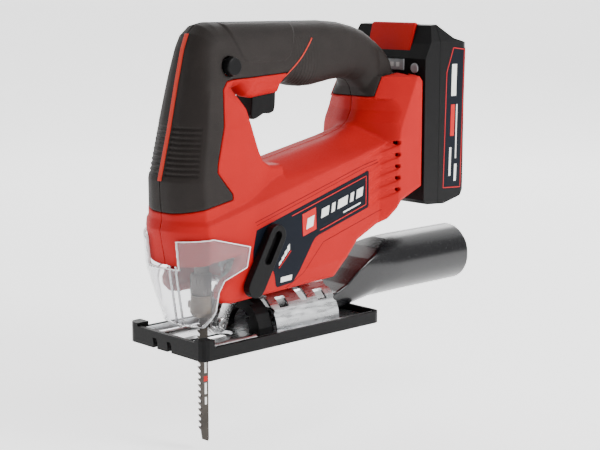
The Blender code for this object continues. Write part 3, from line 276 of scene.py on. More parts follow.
def moulded(name, field, low, high, step):
    """A piece made from its distance field inside the box from low to high."""
    axes = [np.arange(lo - step, hi + 2 * step, step, dtype=np.float32) for lo, hi in zip(low, high)]
    x, y, z = np.meshgrid(*axes, indexing="ij", sparse=True)
    values = np.broadcast_to(field(x, y, z), [len(a) for a in axes]).astype(np.float32)
    values = np.maximum(values, box_field(x, y, z, low, high)).astype(np.float32)
    points, quads = surface_net(values, [a[0] for a in axes], step)

    def boxed(x, y, z):
        return np.maximum(field(x, y, z), box_field(x, y, z, low, high))

    return mesh_object(name, settled(boxed, points, step), quads)


def finished(item, body, material, replaces=(), sharp=50.0):
    """Gives a piece its material and hangs it under its body; sharp is in degrees."""
    item.data.materials.clear()
    item.data.materials.append(material)
    item.data.set_sharp_from_angle(angle=math.radians(sharp))
    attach(item, body)
    if replaces:
        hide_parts(*replaces)
    return item


# ---- form of the shells ---------------------------------------------------------------------------------
def steps(value, table):
    """Straight interpolation in a table of (value, result)."""
    return np.interp(value, [row[0] for row in table], [row[1] for row in table])


# Widths by height, edges that run along the body by x, and places on the nose by height.
COLUMN_HALF_WIDTH = [(60.0, 29.0), (84.0, 28.6), (97.0, 27.8), (139.0, 25.0), (170.0, 21.0), (200.0, 16.0)]
HANDLE_HALF_WIDTH = [(100.0, 24.0), (125.0, 21.5), (150.0, 17.4), (165.0, 18.0), (183.0, 18.4), (204.0, 16.0)]
CHAMFER_START = [(-90.0, 79.0), (-63.0, 82.0), (-27.0, 91.0), (64.0, 114.0), (95.0, 127.0), (125.0, 140.0)]
CREASE = [(10.0, -59.0), (55.0, -65.0), (77.5, -66.0), (108.0, -66.0), (124.0, -63.5), (170.0, -55.0),
          (205.0, -48.0)]
NOSE_FRONT = [(10.0, -70.0), (55.0, -77.0), (77.5, -80.8), (84.0, -79.4), (108.0, -80.6), (139.0, -72.6),
              (170.0, -65.8), (205.0, -57.8)]
FLANGE_EDGE = [(60.0, 94.0), (118.0, 95.0), (130.0, 96.5), (162.0, 111.0), (210.0, 132.0)]
FLANGE_SLOPE = [(60.0, 0.55), (118.0, 0.62), (169.0, 0.95)]
OPENING_BOTTOM = [(-8.0, 113.6), (0.0, 113.4), (60.0, 125.6), (100.0, 134.0)]
OPENING_BACK = [(120.0, 81.0), (134.5, 82.0), (142.0, 85.6), (150.0, 86.0), (160.0, 83.0)]
NO_LIMIT = 500.0


def half_width(x, z):
    """Half width of the body, column, handle and battery flange at each place of the side view."""
    column = steps(z, COLUMN_HALF_WIDTH)
    handle = steps(z, HANDLE_HALF_WIDTH)
    along = np.clip((x + 34.0) / 30.0, 0, 1)
    along = along * along * (3 - 2 * along)
    upper = column + (handle - column) * along
    chamfer = BODY_HALF_WIDTH - 0.85 * np.maximum(z - steps(x, CHAMFER_START), 0)
    belly = BODY_HALF_WIDTH - 0.5 * np.maximum(44.0 - z + 0.10 * np.maximum(x - 20, 0), 0) * 0.35
    flange = BATTERY_HALF_WIDTH - 0.3 - steps(z, FLANGE_SLOPE) * np.maximum(steps(z, FLANGE_EDGE) - x, 0)
    flange = flange - 6.0 * np.maximum(z - 165.0, 0)
    widest = np.maximum(np.maximum(upper, np.minimum(chamfer, belly)), flange)
    return smooth_min(widest, bowl(x, z), 3.0)


def bowl(x, z):
    """Half width left by the slopes that fall into the hand opening from below and behind."""
    below = 10.0 + 1.85 * (steps(x, OPENING_BOTTOM) - z)
    behind = 9.0 + 2.1 * (x - steps(z, OPENING_BACK))
    slope = smooth_max(below, behind, 4.0)
    in_column = np.clip((2.0 - x) / 20.0, 0, 1)
    in_handle = np.clip((z - 150.0) / 20.0, 0, 1)
    return slope + NO_LIMIT * in_column + NO_LIMIT * in_handle


def shell_form(x, y, z):
    """The whole outer form of housing and grips."""
    side = polygon(x, z, SIDE_OUTLINE)
    side = smooth_max(side, -polygon(x, z, HAND_OPENING), 1.0)
    width = np.abs(y) - half_width(x, z)
    handle = np.clip((z - 150.0) / 14.0, 0, 1) * np.clip((106.0 - x) / 10.0, 0, 1)
    radius = 4.0 + 13.0 * handle
    form = smooth_max(side, width, radius)
    crease, front = steps(z, CREASE), steps(z, NOSE_FRONT)
    wide = half_width(crease, z)
    reach = crease - front
    bend = (wide * wide + reach * reach) / (2 * reach)
    centre = front + bend
    nose = np.hypot(np.minimum(x - centre, 0), y) - bend - 0.6 * np.maximum(x - centre, 0)
    return smooth_max(form, nose, 1.0)


def grip_zone(x, y, z):
    """Where the soft grip covers the shell, open at the back for the battery."""
    zone = polygon(x, z, GRIP_REGION)
    rear = np.maximum(86.0 - x, 20.3 - np.abs(y))
    rear = np.maximum(rear, z - 180.0)
    return np.maximum(zone, -rear)


def cuts_in_shell(side):
    """Fields of everything that is cut from one half of the housing; side is -1 for the left."""

    def field(x, y, z):
        tunnel = rod_field(y, z, (0.0, TUNNEL_Z), TUNNEL_RADIUS + 0.7)
        cut = np.maximum(tunnel, np.abs(x - 15.0) - 45.0)
        for low, high in SHELL_ROOMS:
            cut = np.minimum(cut, box_field(x, y, z, low, high))
        bolt = rod_field(x, y, (BOLT_ROOM_X, 0.0), BOLT_ROOM_RADIUS)
        cut = np.minimum(cut, np.maximum(bolt, np.maximum(BOLT_ROOM_LOW - z, z - BOLT_ROOM_HIGH)))
        if side < 0:
            for place, radius in ((LEVER_PIVOT, LEVER_HOLE), (LOCK_BUTTON, LOCK_HOLE)):
                cut = np.minimum(cut, np.maximum(rod_field(x, z, place, radius), y))
        else:
            for place in SCREW_PLACES:
                hole = np.maximum(rod_field(x, z, place, SCREW_HOLE), SCREW_HOLE_FLOOR - y)
                cut = np.minimum(cut, hole)
        return cut

    return field


def vent_grooves(x, y, z):
    """Five long shallow channels that run up to the air holes."""
    found = None
    for i in range(5):
        top = 121.0 - 7.9 * i
        start, end = (69.0 + 1.2 * i, top - 10.5 + 0.5 * i), (93.5, top - 0.5)
        groove = bar_field(x, z, start, end) - 1.7
        fade = np.clip((x - start[0]) / (end[0] - start[0]), 0, 1)
        slot = smooth_max(groove, half_width(x, z) - 0.3 - 1.3 * fade - np.abs(y), 0.8)
        hole = np.maximum(rod_field(x, z, (95.0, top), 1.5), -(np.abs(y) - 20.0))
        both = np.minimum(slot, hole)
        found = both if found is None else np.minimum(found, both)
    return found


def nose_ribs(x, y, z):
    """Depth of the level grooves across the front of the nose, beside the middle stripe."""
    wave = 0.5 + 0.5 * np.cos((z - 112.0) * 2 * math.pi / 3.1)
    reach = np.clip(steps(z, CREASE) - 2.5 - x, 0, 1) * np.clip((np.abs(y) - 2.8) / 0.8, 0, 1)
    rows = np.clip(z - 110.4, 0, 1) * np.clip(142.6 - z, 0, 1)
    return 1.2 * wave * reach * rows


def hand_ribs(x, z):
    """Depth of the fine curved grooves behind the trigger hand's thumb pad."""
    bent = x + 0.004 * (z - 176.0) ** 2
    wave = 0.5 + 0.5 * np.cos((bent - 18.0) * 2 * math.pi / 2.6)
    return 0.35 * wave * np.clip(bent - 17.5, 0, 1) * np.clip(36.5 - bent, 0, 1) * np.clip(194.0 - z, 0, 1)


def pad_step(x, z):
    """The raised thumb pad on the side of the handle."""
    return 0.7 * np.clip(0.5 - polygon(x, z, THUMB_PAD) / 1.2, 0, 1)


def lever_recess(x, y, z):
    """Sunken field round the orbital lever."""
    plate = polygon(x, z, LEVER_FIELD)
    return np.maximum(smooth_max(plate, half_width(x, z) - 0.8 + y, 0.5), y)


def housing_field(side):
    """One half of the red housing, hollow inside."""
    cuts = cuts_in_shell(side)

    def field(x, y, z):
        form = shell_form(x, y, z)
        shell = smooth_max(form, -(grip_zone(x, y, z) - SEAM), 0.9)
        shell = np.maximum(shell, -np.maximum(form + WALL, x - 104.5))
        shell = np.maximum(shell, -cuts(x, y, z))
        shell = smooth_max(shell, -vent_grooves(x, y, z), 0.5)
        if side < 0:
            shell = np.maximum(shell, -np.maximum(lever_recess(x, -y, z), y))
        return np.maximum(shell, SEAM - side * y)

    return field


def grip_field(side):
    """One half of the soft grip, with its ribs and thumb pad."""
    cuts = cuts_in_shell(side)

    def field(x, y, z):
        form = shell_form(x, y, z)
        outer = form - 0.15 + nose_ribs(x, y, z) + hand_ribs(x, z) - pad_step(x, z) + 0.35
        skin = smooth_max(outer, grip_zone(x, y, z) + SEAM, 0.9)
        skin = np.maximum(skin, -(form + WALL))
        skin = np.maximum(skin, -cuts(x, y, z))
        return np.maximum(skin, SEAM - side * y)

    return field


# ---- flat details that lie on the shells ------------------------------------------------------------------
def surface_y(x, z):
    """Half width of the outer form at each place, found by halving."""
    inner = np.zeros(len(x))
    outer = np.full(len(x), 42.0)
    for _ in range(24):
        middle = (inner + outer) / 2
        inside = shell_form(x, middle, z) < 0
        inner = np.where(inside, middle, inner)
        outer = np.where(inside, outer, middle)
    return inner


def patch(name, outline, side, body, look, depth_at=surface_y, lift=0.12, pitch=3.0):
    """A thin sheet of the outline (x, z) laid on the surface at one side."""
    shape = bmesh.new()
    shape.faces.new([shape.verts.new((x, 0.0, z)) for x, z in outline])
    low = [min(p[i] for p in outline) for i in (0, 1)]
    high = [max(p[i] for p in outline) for i in (0, 1)]
    for axis, normal in ((0, (1, 0, 0)), (1, (0, 0, 1))):
        for level in np.arange(low[axis] + pitch, high[axis], pitch):
            bmesh.ops.bisect_plane(shape, geom=shape.verts[:] + shape.edges[:] + shape.faces[:], dist=1e-4,
                                   plane_co=tuple(level * n for n in normal), plane_no=normal)
    bmesh.ops.triangulate(shape, faces=[f for f in shape.faces if len(f.verts) > 4])
    places = np.array([v.co for v in shape.verts])
    outer = depth_at(places[:, 0], places[:, 2]) + lift
    for vert, y in zip(shape.verts, outer):
        vert.co.y = side * y
    skin = shape.faces[:]
    inner = bmesh.ops.duplicate(shape, geom=shape.verts[:] + shape.edges[:] + skin)["geom"]
    for vert in [g for g in inner if isinstance(g, bmesh.types.BMVert)]:
        vert.co.y -= side * (lift + 0.25)
    bmesh.ops.reverse_faces(shape, faces=[g for g in inner if isinstance(g, bmesh.types.BMFace)])
    bmesh.ops.bridge_loops(shape, edges=[e for e in shape.edges if e.is_boundary])
    bmesh.ops.recalc_face_normals(shape, faces=shape.faces[:])
    bmesh.ops.scale(shape, vec=(MM, MM, MM), verts=shape.verts)
    mesh = bpy.data.meshes.new(name)
    shape.to_mesh(mesh)
    shape.free()
    item = bpy.data.objects.new(name, mesh)
    bpy.context.scene.collection.objects.link(item)
    return finished(item, body, look, sharp=30.0)


def evenly_along(route, gap, closed):
    """Points close together along a route (x, z)."""
    points = []
    for (x0, z0), (x1, z1) in zip(route, route[1:]):
        count = max(1, int(math.hypot(x1 - x0, z1 - z0) / gap))
        points += [(x0 + (x1 - x0) * i / count, z0 + (z1 - z0) * i / count) for i in range(count)]
    return np.array(points if closed else points + [route[-1]])


def strip(name, route, width, side, body, look, depth_at=surface_y, lift=0.15, closed=False):
    """A narrow line of constant width that follows the surface along a route (x, z)."""
    points = evenly_along(route + route[:1] if closed else route, 1.5, closed)
    if closed:
        ahead, behind = np.roll(points, -1, 0), np.roll(points, 1, 0)
    else:
        ahead = np.vstack([points[1:], points[-1:]])
        behind = np.vstack([points[:1], points[:-1]])
    run = ahead - behind
    run /= np.linalg.norm(run, axis=1)[:, None]
    across = np.stack([-run[:, 1], run[:, 0]], 1) * width / 2
    left, right = points + across, points - across
    rows = []
    for edge in (left, right):
        y = depth_at(edge[:, 0], edge[:, 1])
        for offset in (lift, -0.3):
            rows.append(np.stack([edge[:, 0], side * (y + offset), edge[:, 1]], 1))
    ring = np.stack([rows[0], rows[2], rows[3], rows[1]], 1)
    n = len(points)
    faces = []
    for i in range(n if closed else n - 1):
        j = (i + 1) % n
        for a in range(4):
            b = (a + 1) % 4
            faces.append((4 * i + a, 4 * i + b, 4 * j + b, 4 * j + a))
    if not closed:
        faces += [(0, 1, 2, 3), (4 * n - 1, 4 * n - 2, 4 * n - 3, 4 * n - 4)]
    faces = np.array(faces)
    faces = faces if side > 0 else faces[:, ::-1]
    item = mesh_object(name, ring.reshape(-1, 3), faces)
    return finished(item, body, look, sharp=30.0)


def slanted(x, z, length, height, slope=0.29, lean=0.0):
    """Corners of a bar that follows the slope of the label."""
    return [(x, z), (x + length, z + slope * length), (x + length + lean, z + slope * length + height),
            (x + lean, z + height)]


# ---- materials ------------------------------------------------------------------------------------------
def material(name, colour, roughness, metallic=0.0, spread=0.06, grain=900.0, bump=0.06, rough_spread=0.08,
             transmission=0.0, coat=0.0, ior=1.5, stretch=None, level=0.5):
    """A Principled material whose colour, roughness and surface vary with position."""
    made = bpy.data.materials.new(name)
    made.use_nodes = True
    nodes, links = made.node_tree.nodes, made.node_tree.links
    shader = nodes["Principled BSDF"]
    shader.inputs["Metallic"].default_value = metallic
    shader.inputs["IOR"].default_value = ior
    shader.inputs["Transmission Weight"].default_value = transmission
    shader.inputs["Coat Weight"].default_value = coat
    shader.inputs["Specular IOR Level"].default_value = level
    place = nodes.new("ShaderNodeTexCoord")
    source = place.outputs["Object"]
    if stretch:
        mapping = nodes.new("ShaderNodeMapping")
        mapping.inputs["Scale"].default_value = stretch
        links.new(source, mapping.inputs["Vector"])
        source = mapping.outputs["Vector"]
    cloud = nodes.new("ShaderNodeTexNoise")
    cloud.inputs["Scale"].default_value = grain * 0.05
    cloud.inputs["Detail"].default_value = 4.0
    links.new(source, cloud.inputs["Vector"])
    fine = nodes.new("ShaderNodeTexNoise")
    fine.inputs["Scale"].default_value = grain
    fine.inputs["Detail"].default_value = 3.0
    links.new(source, fine.inputs["Vector"])
    ramp = nodes.new("ShaderNodeValToRGB")
    ramp.color_ramp.elements[0].position = 0.3
    ramp.color_ramp.elements[1].position = 0.7
    ramp.color_ramp.elements[0].color = (*[c * (1 - spread) for c in colour], 1)
    ramp.color_ramp.elements[1].color = (*[min(1.0, c * (1 + spread)) for c in colour], 1)
    links.new(cloud.outputs["Fac"], ramp.inputs["Fac"])
    links.new(ramp.outputs["Color"], shader.inputs["Base Color"])
    span = nodes.new("ShaderNodeMapRange")
    span.inputs["From Min"].default_value = 0.3
    span.inputs["From Max"].default_value = 0.7
    span.inputs["To Min"].default_value = max(0.02, roughness - rough_spread)
    span.inputs["To Max"].default_value = min(1.0, roughness + rough_spread)
    links.new(fine.outputs["Fac"], span.inputs["Value"])
    links.new(span.outputs["Result"], shader.inputs["Roughness"])
    relief = nodes.new("ShaderNodeBump")
    relief.inputs["Strength"].default_value = bump
    relief.inputs["Distance"].default_value = 0.0003
    links.new(fine.outputs["Fac"], relief.inputs["Height"])
    links.new(relief.outputs["Normal"], shader.inputs["Normal"])
    return made


LOOKS = {
    "red_plastic": material("red_moulding", (0.40, 0.0055, 0.0055), 0.60, spread=0.05, bump=0.08, level=0.14),
    "black_grip": material("soft_grip", (0.0165, 0.0132, 0.0120), 0.62, spread=0.12, bump=0.25, grain=1500.0,
                           level=0.16),
    "black_plastic": material("black_moulding", (0.0035, 0.0035, 0.0038), 0.42, spread=0.10, bump=0.12,
                              level=0.12),
    "gloss_black": material("gloss_black", (0.005, 0.005, 0.006), 0.24, spread=0.08, bump=0.03,
                            rough_spread=0.04),
    "clear_plastic": material("clear_guard", (0.86, 0.86, 0.88), 0.06, spread=0.02, bump=0.01,
                              rough_spread=0.02, transmission=0.93, ior=1.3),
    "zinc_steel": material("zinc_plate", (0.62, 0.63, 0.64), 0.30, 1.0, spread=0.12, bump=0.02,
                           rough_spread=0.08, grain=350.0, stretch=(0.3, 1.5, 1.5)),
    "dark_steel": material("dark_steel", (0.11, 0.10, 0.09), 0.38, 1.0, spread=0.16, bump=0.04,
                           rough_spread=0.12),
    "bright_steel": material("bright_steel", (0.52, 0.52, 0.52), 0.24, 1.0, spread=0.10, bump=0.02),
    "cast_aluminium": material("cast_aluminium", (0.50, 0.51, 0.53), 0.50, 1.0, spread=0.12, bump=0.35),
    "brass": material("brass", (0.72, 0.52, 0.24), 0.30, 1.0, spread=0.1),
    "green_board": material("green_board", (0.03, 0.20, 0.09), 0.45, spread=0.2),
    "cell_wrap": material("cell_wrap", (0.08, 0.30, 0.50), 0.35, spread=0.06),
    "red_wire": material("red_wire", (0.60, 0.03, 0.02), 0.45),
    "black_wire": material("black_wire", (0.02, 0.02, 0.02), 0.45),
    "label": material("label", (0.004, 0.006, 0.011), 0.4, spread=0.05, bump=0.02, level=0.08),
    "label_red": material("label_red", (0.50, 0.010, 0.010), 0.45, spread=0.03, bump=0.02, level=0.15),
    # Painted shade: a darker red for strips where grooves and facet edges fall into shade.
    "painted_groove_shade": material("painted_groove_shade", (0.13, 0.003, 0.003), 0.5, spread=0.03, bump=0.02, level=0.1),
    "piping": material("piping", (0.52, 0.035, 0.02), 0.45, spread=0.03, bump=0.02, level=0.15),
    # Painted highlight: a near-white colour for the light that the clear guard's cut edges catch.
    "painted_edge_highlight": material("painted_edge_highlight", (0.92, 0.93, 0.94), 0.15, spread=0.02, bump=0.01),
    "label_white": material("label_white", (0.80, 0.80, 0.78), 0.4, spread=0.03, bump=0.02),
    "warm_steel": material("warm_steel", (0.10, 0.075, 0.05), 0.38, 1.0, spread=0.2, bump=0.05,
                           rough_spread=0.1),
    "plunger_steel": material("plunger_steel", (0.06, 0.052, 0.045), 0.24, 1.0, spread=0.25, bump=0.03,
                              rough_spread=0.1, grain=700.0, stretch=(1.0, 1.0, 0.15)),
    "blade_steel": material("blade_steel", (0.055, 0.048, 0.042), 0.42, 0.85, spread=0.2, bump=0.12),
}

# CAD nodes whose finish differs from that of their material slot.
NODE_LOOKS = {"plunger": "plunger_steel", "clamp_holder": "plunger_steel", "blade_clamp": "warm_steel",
              "blade": "blade_steel", "bevel_bracket": "zinc_steel", "battery_release_button": "red_plastic"}


def dress_frame():
    """Gives each CAD node the finish of its material slot, and rounds its edges a little."""
    slots = {row["node"]: row["material_slot"] for row in frame["record"]["subparts"]}
    for name, node in frame["nodes"].items():
        look = LOOKS[NODE_LOOKS.get(name, slots[name])]
        for i in range(len(node.data.materials)):
            node.data.materials[i] = look
        if not node.data.materials:
            node.data.materials.append(look)
        bevel = node.modifiers.new("edge", "BEVEL")
        bevel.width = 0.25 * MM
        bevel.segments = 2
        bevel.limit_method = "ANGLE"
        bevel.angle_limit = math.radians(38)
        bevel.harden_normals = False


# ---- pieces ---------------------------------------------------------------------------------------------
def make_shells():
    """Both halves of the housing and of the soft grip."""
    for side, name in ((-1, "left"), (1, "right")):
        low = (-81.5, -38.5 if side < 0 else 0.0, 29.0)
        high = (119.0, 0.0 if side < 0 else 38.5, 204.5)
        red = moulded("shell_" + name, housing_field(side), low, high, VOXEL)
        finished(red, "housing", LOOKS["red_plastic"], ["housing_" + name])
        low, high = (-81.5, low[1], 82.0), (111.5, high[1], 204.5)
        black = moulded("soft_grip_" + name, grip_field(side), low, high, VOXEL)
        finished(black, "housing", LOOKS["black_grip"], ["grip_" + name])


def make_stripe():
    """The red strip up the middle of the nose."""

    def field(x, y, z):
        sheet = np.abs(shell_form(x, y, z) + 0.1) - 0.45
        sheet = np.maximum(np.maximum(sheet, np.abs(y) - 1.7), x - steps(z, CREASE))
        return np.maximum(sheet, np.maximum(108.0 - z, z - 197.0))

    item = moulded("nose_stripe", field, (-81.5, -2.5, 107.0), (-50.0, 2.5, 198.0), 0.45)
    finished(item, "housing", LOOKS["piping"])


def make_label(side, name):
    """Dark side label with plain bars where the photo has lettering."""
    body, dark, red, white = "housing", LOOKS["label"], LOOKS["label_red"], LOOKS["label_white"]
    patch("label_" + name, LABEL, side, body, dark)
    frame_line = [(2.0, 80.8), (69.4, 100.3), (69.4, 81.0), (27.0, 68.6)]
    strip("label_line_" + name, frame_line, 0.55, side, body, red, lift=0.3)
    patch("label_square_" + name, slanted(11.5, 66.3, 12.0, 14.5, lean=-0.6), side, body, red,
          lift=0.3)
    patch("label_spot_" + name, slanted(14.3, 70.6, 6.0, 7.0, lean=1.2), side, body, white, lift=0.5)
    for i, (x, length) in enumerate([(27.5, 6.6), (36.8, 3.0), (42.5, 8.8), (54.0, 3.0), (59.8, 5.8)]):
        bar = slanted(x, 76.4 + 0.29 * (x - 27.5), length, 6.0, lean=0.9)
        patch("label_bar_%s_%d" % (name, i), bar, side, body, white, lift=0.5)
    patch("label_note_" + name, slanted(48.0, 77.6, 16.0, 1.0), side, body, white, lift=0.5)
    patch("label_foot_" + name, slanted(-7.5, 38.6, 9.5, 3.4, slope=0.06), side, body, white, lift=0.5)
    if side < 0:
        for i in range(4):
            x = -9.5 + 2.4 * i
            mark = slanted(x, 50.0 + 2.5 * i, 2.0, 1.8 + 0.7 * i, slope=0.9)
            patch("lever_mark_%d" % i, mark, side, body, white, lift=0.5)
        strip("lever_mark_line", [(-9.5, 48.4), (0.8, 58.4)], 0.5, side, body, red, lift=0.5)


def make_lines(side, name):
    """Moulding lines: red piping behind the hand grip, and painted shade in dark red strips along the double
    groove above the label and the lower facet edge.
    """
    piping = [(10.5, 168.5), (22.0, 180.0), (33.0, 192.5)]
    strip("grip_piping_" + name, piping, 0.8, side, "housing", LOOKS["piping"], lift=0.0)
    # Painted shade: darker red strips stand in for the shadow inside the grooves and along the facet edge.
    # They are not a colour of the moulding.
    dark = LOOKS["painted_groove_shade"]
    strip("groove_shade_" + name, BODY_LINE, 0.5, side, "housing", dark, lift=0.05)
    second = [(x + 1.0, z - 2.0) for x, z in BODY_LINE]
    strip("groove_shade_low_" + name, second, 0.4, side, "housing", dark, lift=0.05)
    lower = [(-2.0, 34.0), (12.0, 42.0), (30.0, 60.5), (84.0, 76.0)]
    strip("facet_shade_line_" + name, lower, 0.45, side, "housing", dark, lift=0.05)


PIPE_TOP = [(0.0, 17.6), (48.0, 17.6), (60.0, 19.6), (68.0, 23.5), (78.0, 32.0), (88.0, 38.8), (100.0, 44.6),
            (114.0, 49.0), (128.0, 51.5), (200.0, 54.0)]
PIPE_MIDDLE = [(0.0, 23.6), (60.0, 24.0), (96.0, 29.6), (128.0, 30.0), (200.0, 30.0)]
PIPE_HALF_WIDTH = [(0.0, 14.0), (60.0, 14.0), (100.0, 19.6), (118.0, 21.5), (200.0, 22.0)]


def pipe_form(x, y, z):
    """Round pipe whose front is cut by a slope down to a low flat duct."""
    round_part = np.hypot(y, z - steps(x, PIPE_MIDDLE)) - 20.5
    low = smooth_max(np.maximum(round_part, 8.2 - z), np.abs(y) - steps(x, PIPE_HALF_WIDTH), 3.0)
    return smooth_max(low, (z - steps(x, PIPE_TOP)) * 0.85, 1.2)


def make_pipe():
    """Dust pipe, open right through."""
    back = high_mm("dust_pipe", 0)

    def field(x, y, z):
        form = pipe_form(x, y, z)
        return np.maximum(form, -(form + 1.9))

    item = moulded("dust_pipe_shell", field, (0.0, -21.0, 8.0), (back, 21.0, 51.0), VOXEL)
    finished(item, "dust_pipe", LOOKS["gloss_black"], ["dust_pipe"], sharp=35.0)


GUARD_CREASE = [(14.0, -58.5), (16.0, -58.5), (48.0, -65.0), (56.0, -65.3), (80.0, -66.0)]
GUARD_HALF_WIDTH = [(14.0, 26.0), (16.0, 26.0), (48.0, 33.8), (80.0, 33.8)]
GUARD_FRONT = [(14.0, -68.5), (16.0, -69.0), (48.0, -78.5), (56.0, -80.6), (80.0, -83.2)]
GUARD_FACE = [(-90.0, 16.0), (-62.5, 16.0), (-59.0, 28.0), (-59.0, 40.0), (-56.0, 47.0), (-38.0, 53.0),
              (-35.0, 66.0), (-64.4, 74.0), (-90.0, 70.5)]


def guard_outer(x, y, z):
    """Outer face of the chip guard: a bow in front, flat at the sides."""
    crease, wide, front = steps(z, GUARD_CREASE), steps(z, GUARD_HALF_WIDTH), steps(z, GUARD_FRONT)
    reach = crease - front
    bend = (wide * wide + reach * reach) / (2 * reach)
    nose = np.hypot(np.minimum(x - front - bend, 0), y) - bend
    return smooth_max(nose, np.abs(y) - wide, 1.5)


def guard_profile(x, y, z):
    """Where the guard is cut: its side outline, and a wide gap for the nose in front."""
    gap = np.maximum(np.maximum(54.2 - z, np.abs(y) - 14.5), x + 60.0)
    return np.maximum(polygon(x, z, GUARD_FACE), -gap)


def make_guard():
    """Clear chip guard, and a painted highlight: a near-white line along its cut edges where they catch the
    light.
    """

    def sheet(x, y, z):
        outer = guard_outer(x, y, z)
        return np.maximum(np.maximum(outer, -(outer + 1.6)), guard_profile(x, y, z) + 0.5)

    # Band along the cut edges that carries the painted edge highlight.
    def rim(x, y, z):
        outer = guard_outer(x, y, z)
        return np.maximum(np.abs(outer + 0.8) - 0.82, np.abs(guard_profile(x, y, z) + 0.25) - 0.3)

    low, high = (-80.3, -34.0, 15.8), (-34.5, 34.0, 75.0)
    clear = moulded("clear_guard", sheet, low, high, 0.8)
    finished(clear, "chip_guard", LOOKS["clear_plastic"], ["chip_guard"], sharp=40.0)
    # Painted highlight along the guard's cut edges.
    edge = moulded("guard_highlight_band", rim, low, high, 0.5)
    finished(edge, "chip_guard", LOOKS["painted_edge_highlight"])


def make_battery_details():
    """Side labels of the battery with plain bars, and the four lights of the charge panel."""
    wide = high_mm("battery_case_rear", 1)

    def flat(x, z):
        return np.full(len(x), wide)

    outline = [(140.5, 167.0), (147.5, 184.5), (160.8, 183.0), (158.6, 84.0), (138.5, 85.0)]
    inner = [(141.5, 166.5), (148.2, 183.3), (159.6, 182.0), (157.5, 85.2), (139.6, 86.1)]
    for side, name in ((-1, "left"), (1, "right")):
        patch("pack_label_" + name, outline, side, "battery", LOOKS["label"], flat,
              lift=0.02)
        strip("pack_line_" + name, inner, 0.6, side, "battery", LOOKS["label_red"], flat,
              lift=0.06, closed=True)
        bars = [(146.5, 150.0, 5.0, 22.0, "label_white"), (146.0, 122.0, 4.0, 22.0, "label_red"),
                (145.0, 94.0, 2.0, 20.0, "label_white"), (150.5, 90.0, 2.4, 12.0, "label_white"),
                (151.5, 106.0, 1.2, 38.0, "label_white")]
        for i, (x, z, width, height, look) in enumerate(bars):
            corners = [(x, z), (x + width, z), (x + width + 0.5, z + height), (x + 0.5, z + height)]
            patch("pack_bar_%s_%d" % (name, i), corners, side, "battery", LOOKS[look], flat, lift=0.1,
                  pitch=40.0)
    front = low_mm("charge_panel", 0)
    for i in range(4):
        y = -12.0 + 5.5 * i
        light = bmesh.new()
        bmesh.ops.create_cube(light, size=1.0)
        for vert in light.verts:
            out, across, up = vert.co
            vert.co = ((front + 0.1 + out * 0.5) * MM, (y + across * 3.4) * MM, (172.0 + up * 3.4) * MM)
        bmesh.ops.bevel(light, geom=light.edges[:], offset=0.15 * MM, segments=2, affect="EDGES")
        mesh = bpy.data.meshes.new("charge_light")
        light.to_mesh(mesh)
        light.free()
        item = bpy.data.objects.new("charge_light_%d" % i, mesh)
        bpy.context.scene.collection.objects.link(item)
        finished(item, "battery", LOOKS["label_white"] if i < 3 else LOOKS["label_red"])


def make_blade_print():
    """Plain printed bars on both faces of the blade."""
    half = high_mm("blade", 1)
    x = high_mm("blade", 0) - 3.6

    def flat(x, z):
        return np.full(len(x), half)

    rows = [(-11.5, 6.0, 3.2, "label_red"), (-10.0, 3.0, 1.6, "label_white"),
            (-20.0, 7.0, 1.8, "label_white"), (-25.5, 3.5, 3.0, "label_red"),
            (-34.0, 7.5, 1.8, "label_white"), (-41.0, 5.0, 1.6, "label_white")]
    for side in (-1, 1):
        for i, (z, height, width, look) in enumerate(rows):
            low = x + 1.4 - width / 2
            corners = [(low, z), (low + width, z), (low + width, z + height), (low, z + height)]
            patch("blade_bar_%d_%d" % (side + 1, i), corners, side, "plunger", LOOKS[look], flat,
                  lift=0.03 + 0.02 * (i == 1), pitch=40.0)


# ---- camera, floor and light ----------------------------------------------------------------------------
LENS, SENSOR_WIDTH = 84.0, 36.0
CAMERA_PLACE = (-596.2, -680.05, 227.4)
CAMERA_AROUND, CAMERA_ABOVE = math.radians(43.0), math.radians(9.8)
FLOOR_GAP = 0.006  # metres below the blade's tip
FLOOR_REACH, BACKDROP_START, BACKDROP_RADIUS, BACKDROP_TOP = 6000.0, 1500.0, 900.0, 5000.0
LAMP_TARGET = (0.02, 0.0, 0.08)
LAMPS = [("key", (0.55, -1.5, 0.9), 0.7, 30.0), ("top", (0.0, -0.6, 1.7), 1.0, 9.0),
         ("rim", (1.3, 0.9, 0.9), 0.8, 8.0)]


def make_camera(scene):
    camera = bpy.data.cameras.new("camera")
    camera.lens = LENS
    camera.sensor_width = SENSOR_WIDTH
    item = bpy.data.objects.new("camera", camera)
    scene.collection.objects.link(item)
    item.location = Vector(CAMERA_PLACE) * MM
    around, above = CAMERA_AROUND, CAMERA_ABOVE
    ahead = Vector((math.sin(around) * math.cos(above), math.cos(around) * math.cos(above), -math.sin(above)))
    item.rotation_mode = "QUATERNION"
    item.rotation_quaternion = ahead.to_track_quat("-Z", "Y")
    scene.camera = item


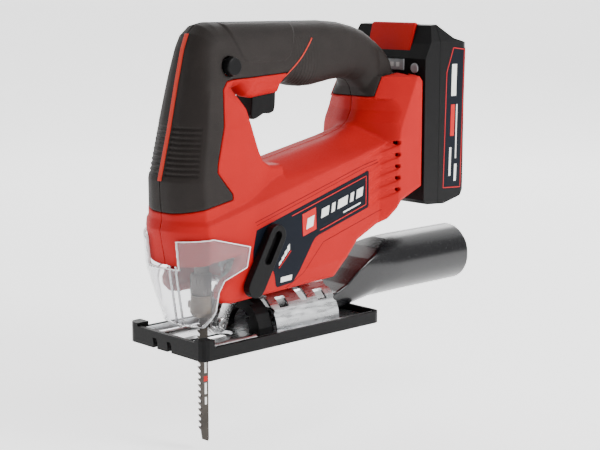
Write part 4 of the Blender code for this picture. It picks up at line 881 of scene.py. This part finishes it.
def make_floor():
    """A floor that bends up into a backdrop far behind the saw."""
    floor_z = CAD_BOUNDS[0].z - FLOOR_GAP
    bow = [(BACKDROP_START + BACKDROP_RADIUS * math.sin(a), BACKDROP_RADIUS * (1 - math.cos(a)))
           for a in np.linspace(0, math.pi / 2, 16)]
    profile = [(-FLOOR_REACH, 0.0)] + bow + [(BACKDROP_START + BACKDROP_RADIUS, BACKDROP_TOP)]
    away = Vector((math.sin(CAMERA_AROUND), math.cos(CAMERA_AROUND)))
    across = Vector((away.y, -away.x))
    points = []
    for reach, height in profile:
        for side in (-FLOOR_REACH, FLOOR_REACH):
            spot = away * reach + across * side
            points.append((spot.x, spot.y, height + floor_z / MM))
    faces = [(2 * i, 2 * i + 1, 2 * i + 3, 2 * i + 2) for i in range(len(profile) - 1)]
    floor = mesh_object("floor", np.array(points), np.array(faces))
    pale = material("pale_floor", (0.97, 0.97, 0.97), 0.9, spread=0.01, bump=0.02)
    shader = pale.node_tree.nodes["Principled BSDF"]
    shader.inputs["Emission Color"].default_value = (1.0, 1.0, 1.0, 1)
    shader.inputs["Emission Strength"].default_value = 1.25
    floor.data.materials.append(pale)


def make_light(scene):
    """Even white surroundings and three soft round lamps."""
    world = bpy.data.worlds.new("studio")
    scene.world = world
    world.use_nodes = True
    background = world.node_tree.nodes["Background"]
    background.inputs["Color"].default_value = (1.0, 1.0, 1.0, 1)
    background.inputs["Strength"].default_value = 0.4
    for name, place, size, power in LAMPS:
        light = bpy.data.lights.new(name, "AREA")
        light.shape = "DISK"
        light.size = size
        light.energy = power
        made = bpy.data.objects.new(name, light)
        scene.collection.objects.link(made)
        made.location = place
        made.rotation_mode = "QUATERNION"
        made.rotation_quaternion = (Vector(LAMP_TARGET) - Vector(place)).to_track_quat("-Z", "Y")


dress_frame()
make_shells()
make_stripe()
for side, name in ((-1, "left"), (1, "right")):
    make_label(side, name)
    make_lines(side, name)
make_pipe()
make_guard()
make_battery_details()
make_blade_print()
make_camera(bpy.context.scene)
make_floor()
make_light(bpy.context.scene)
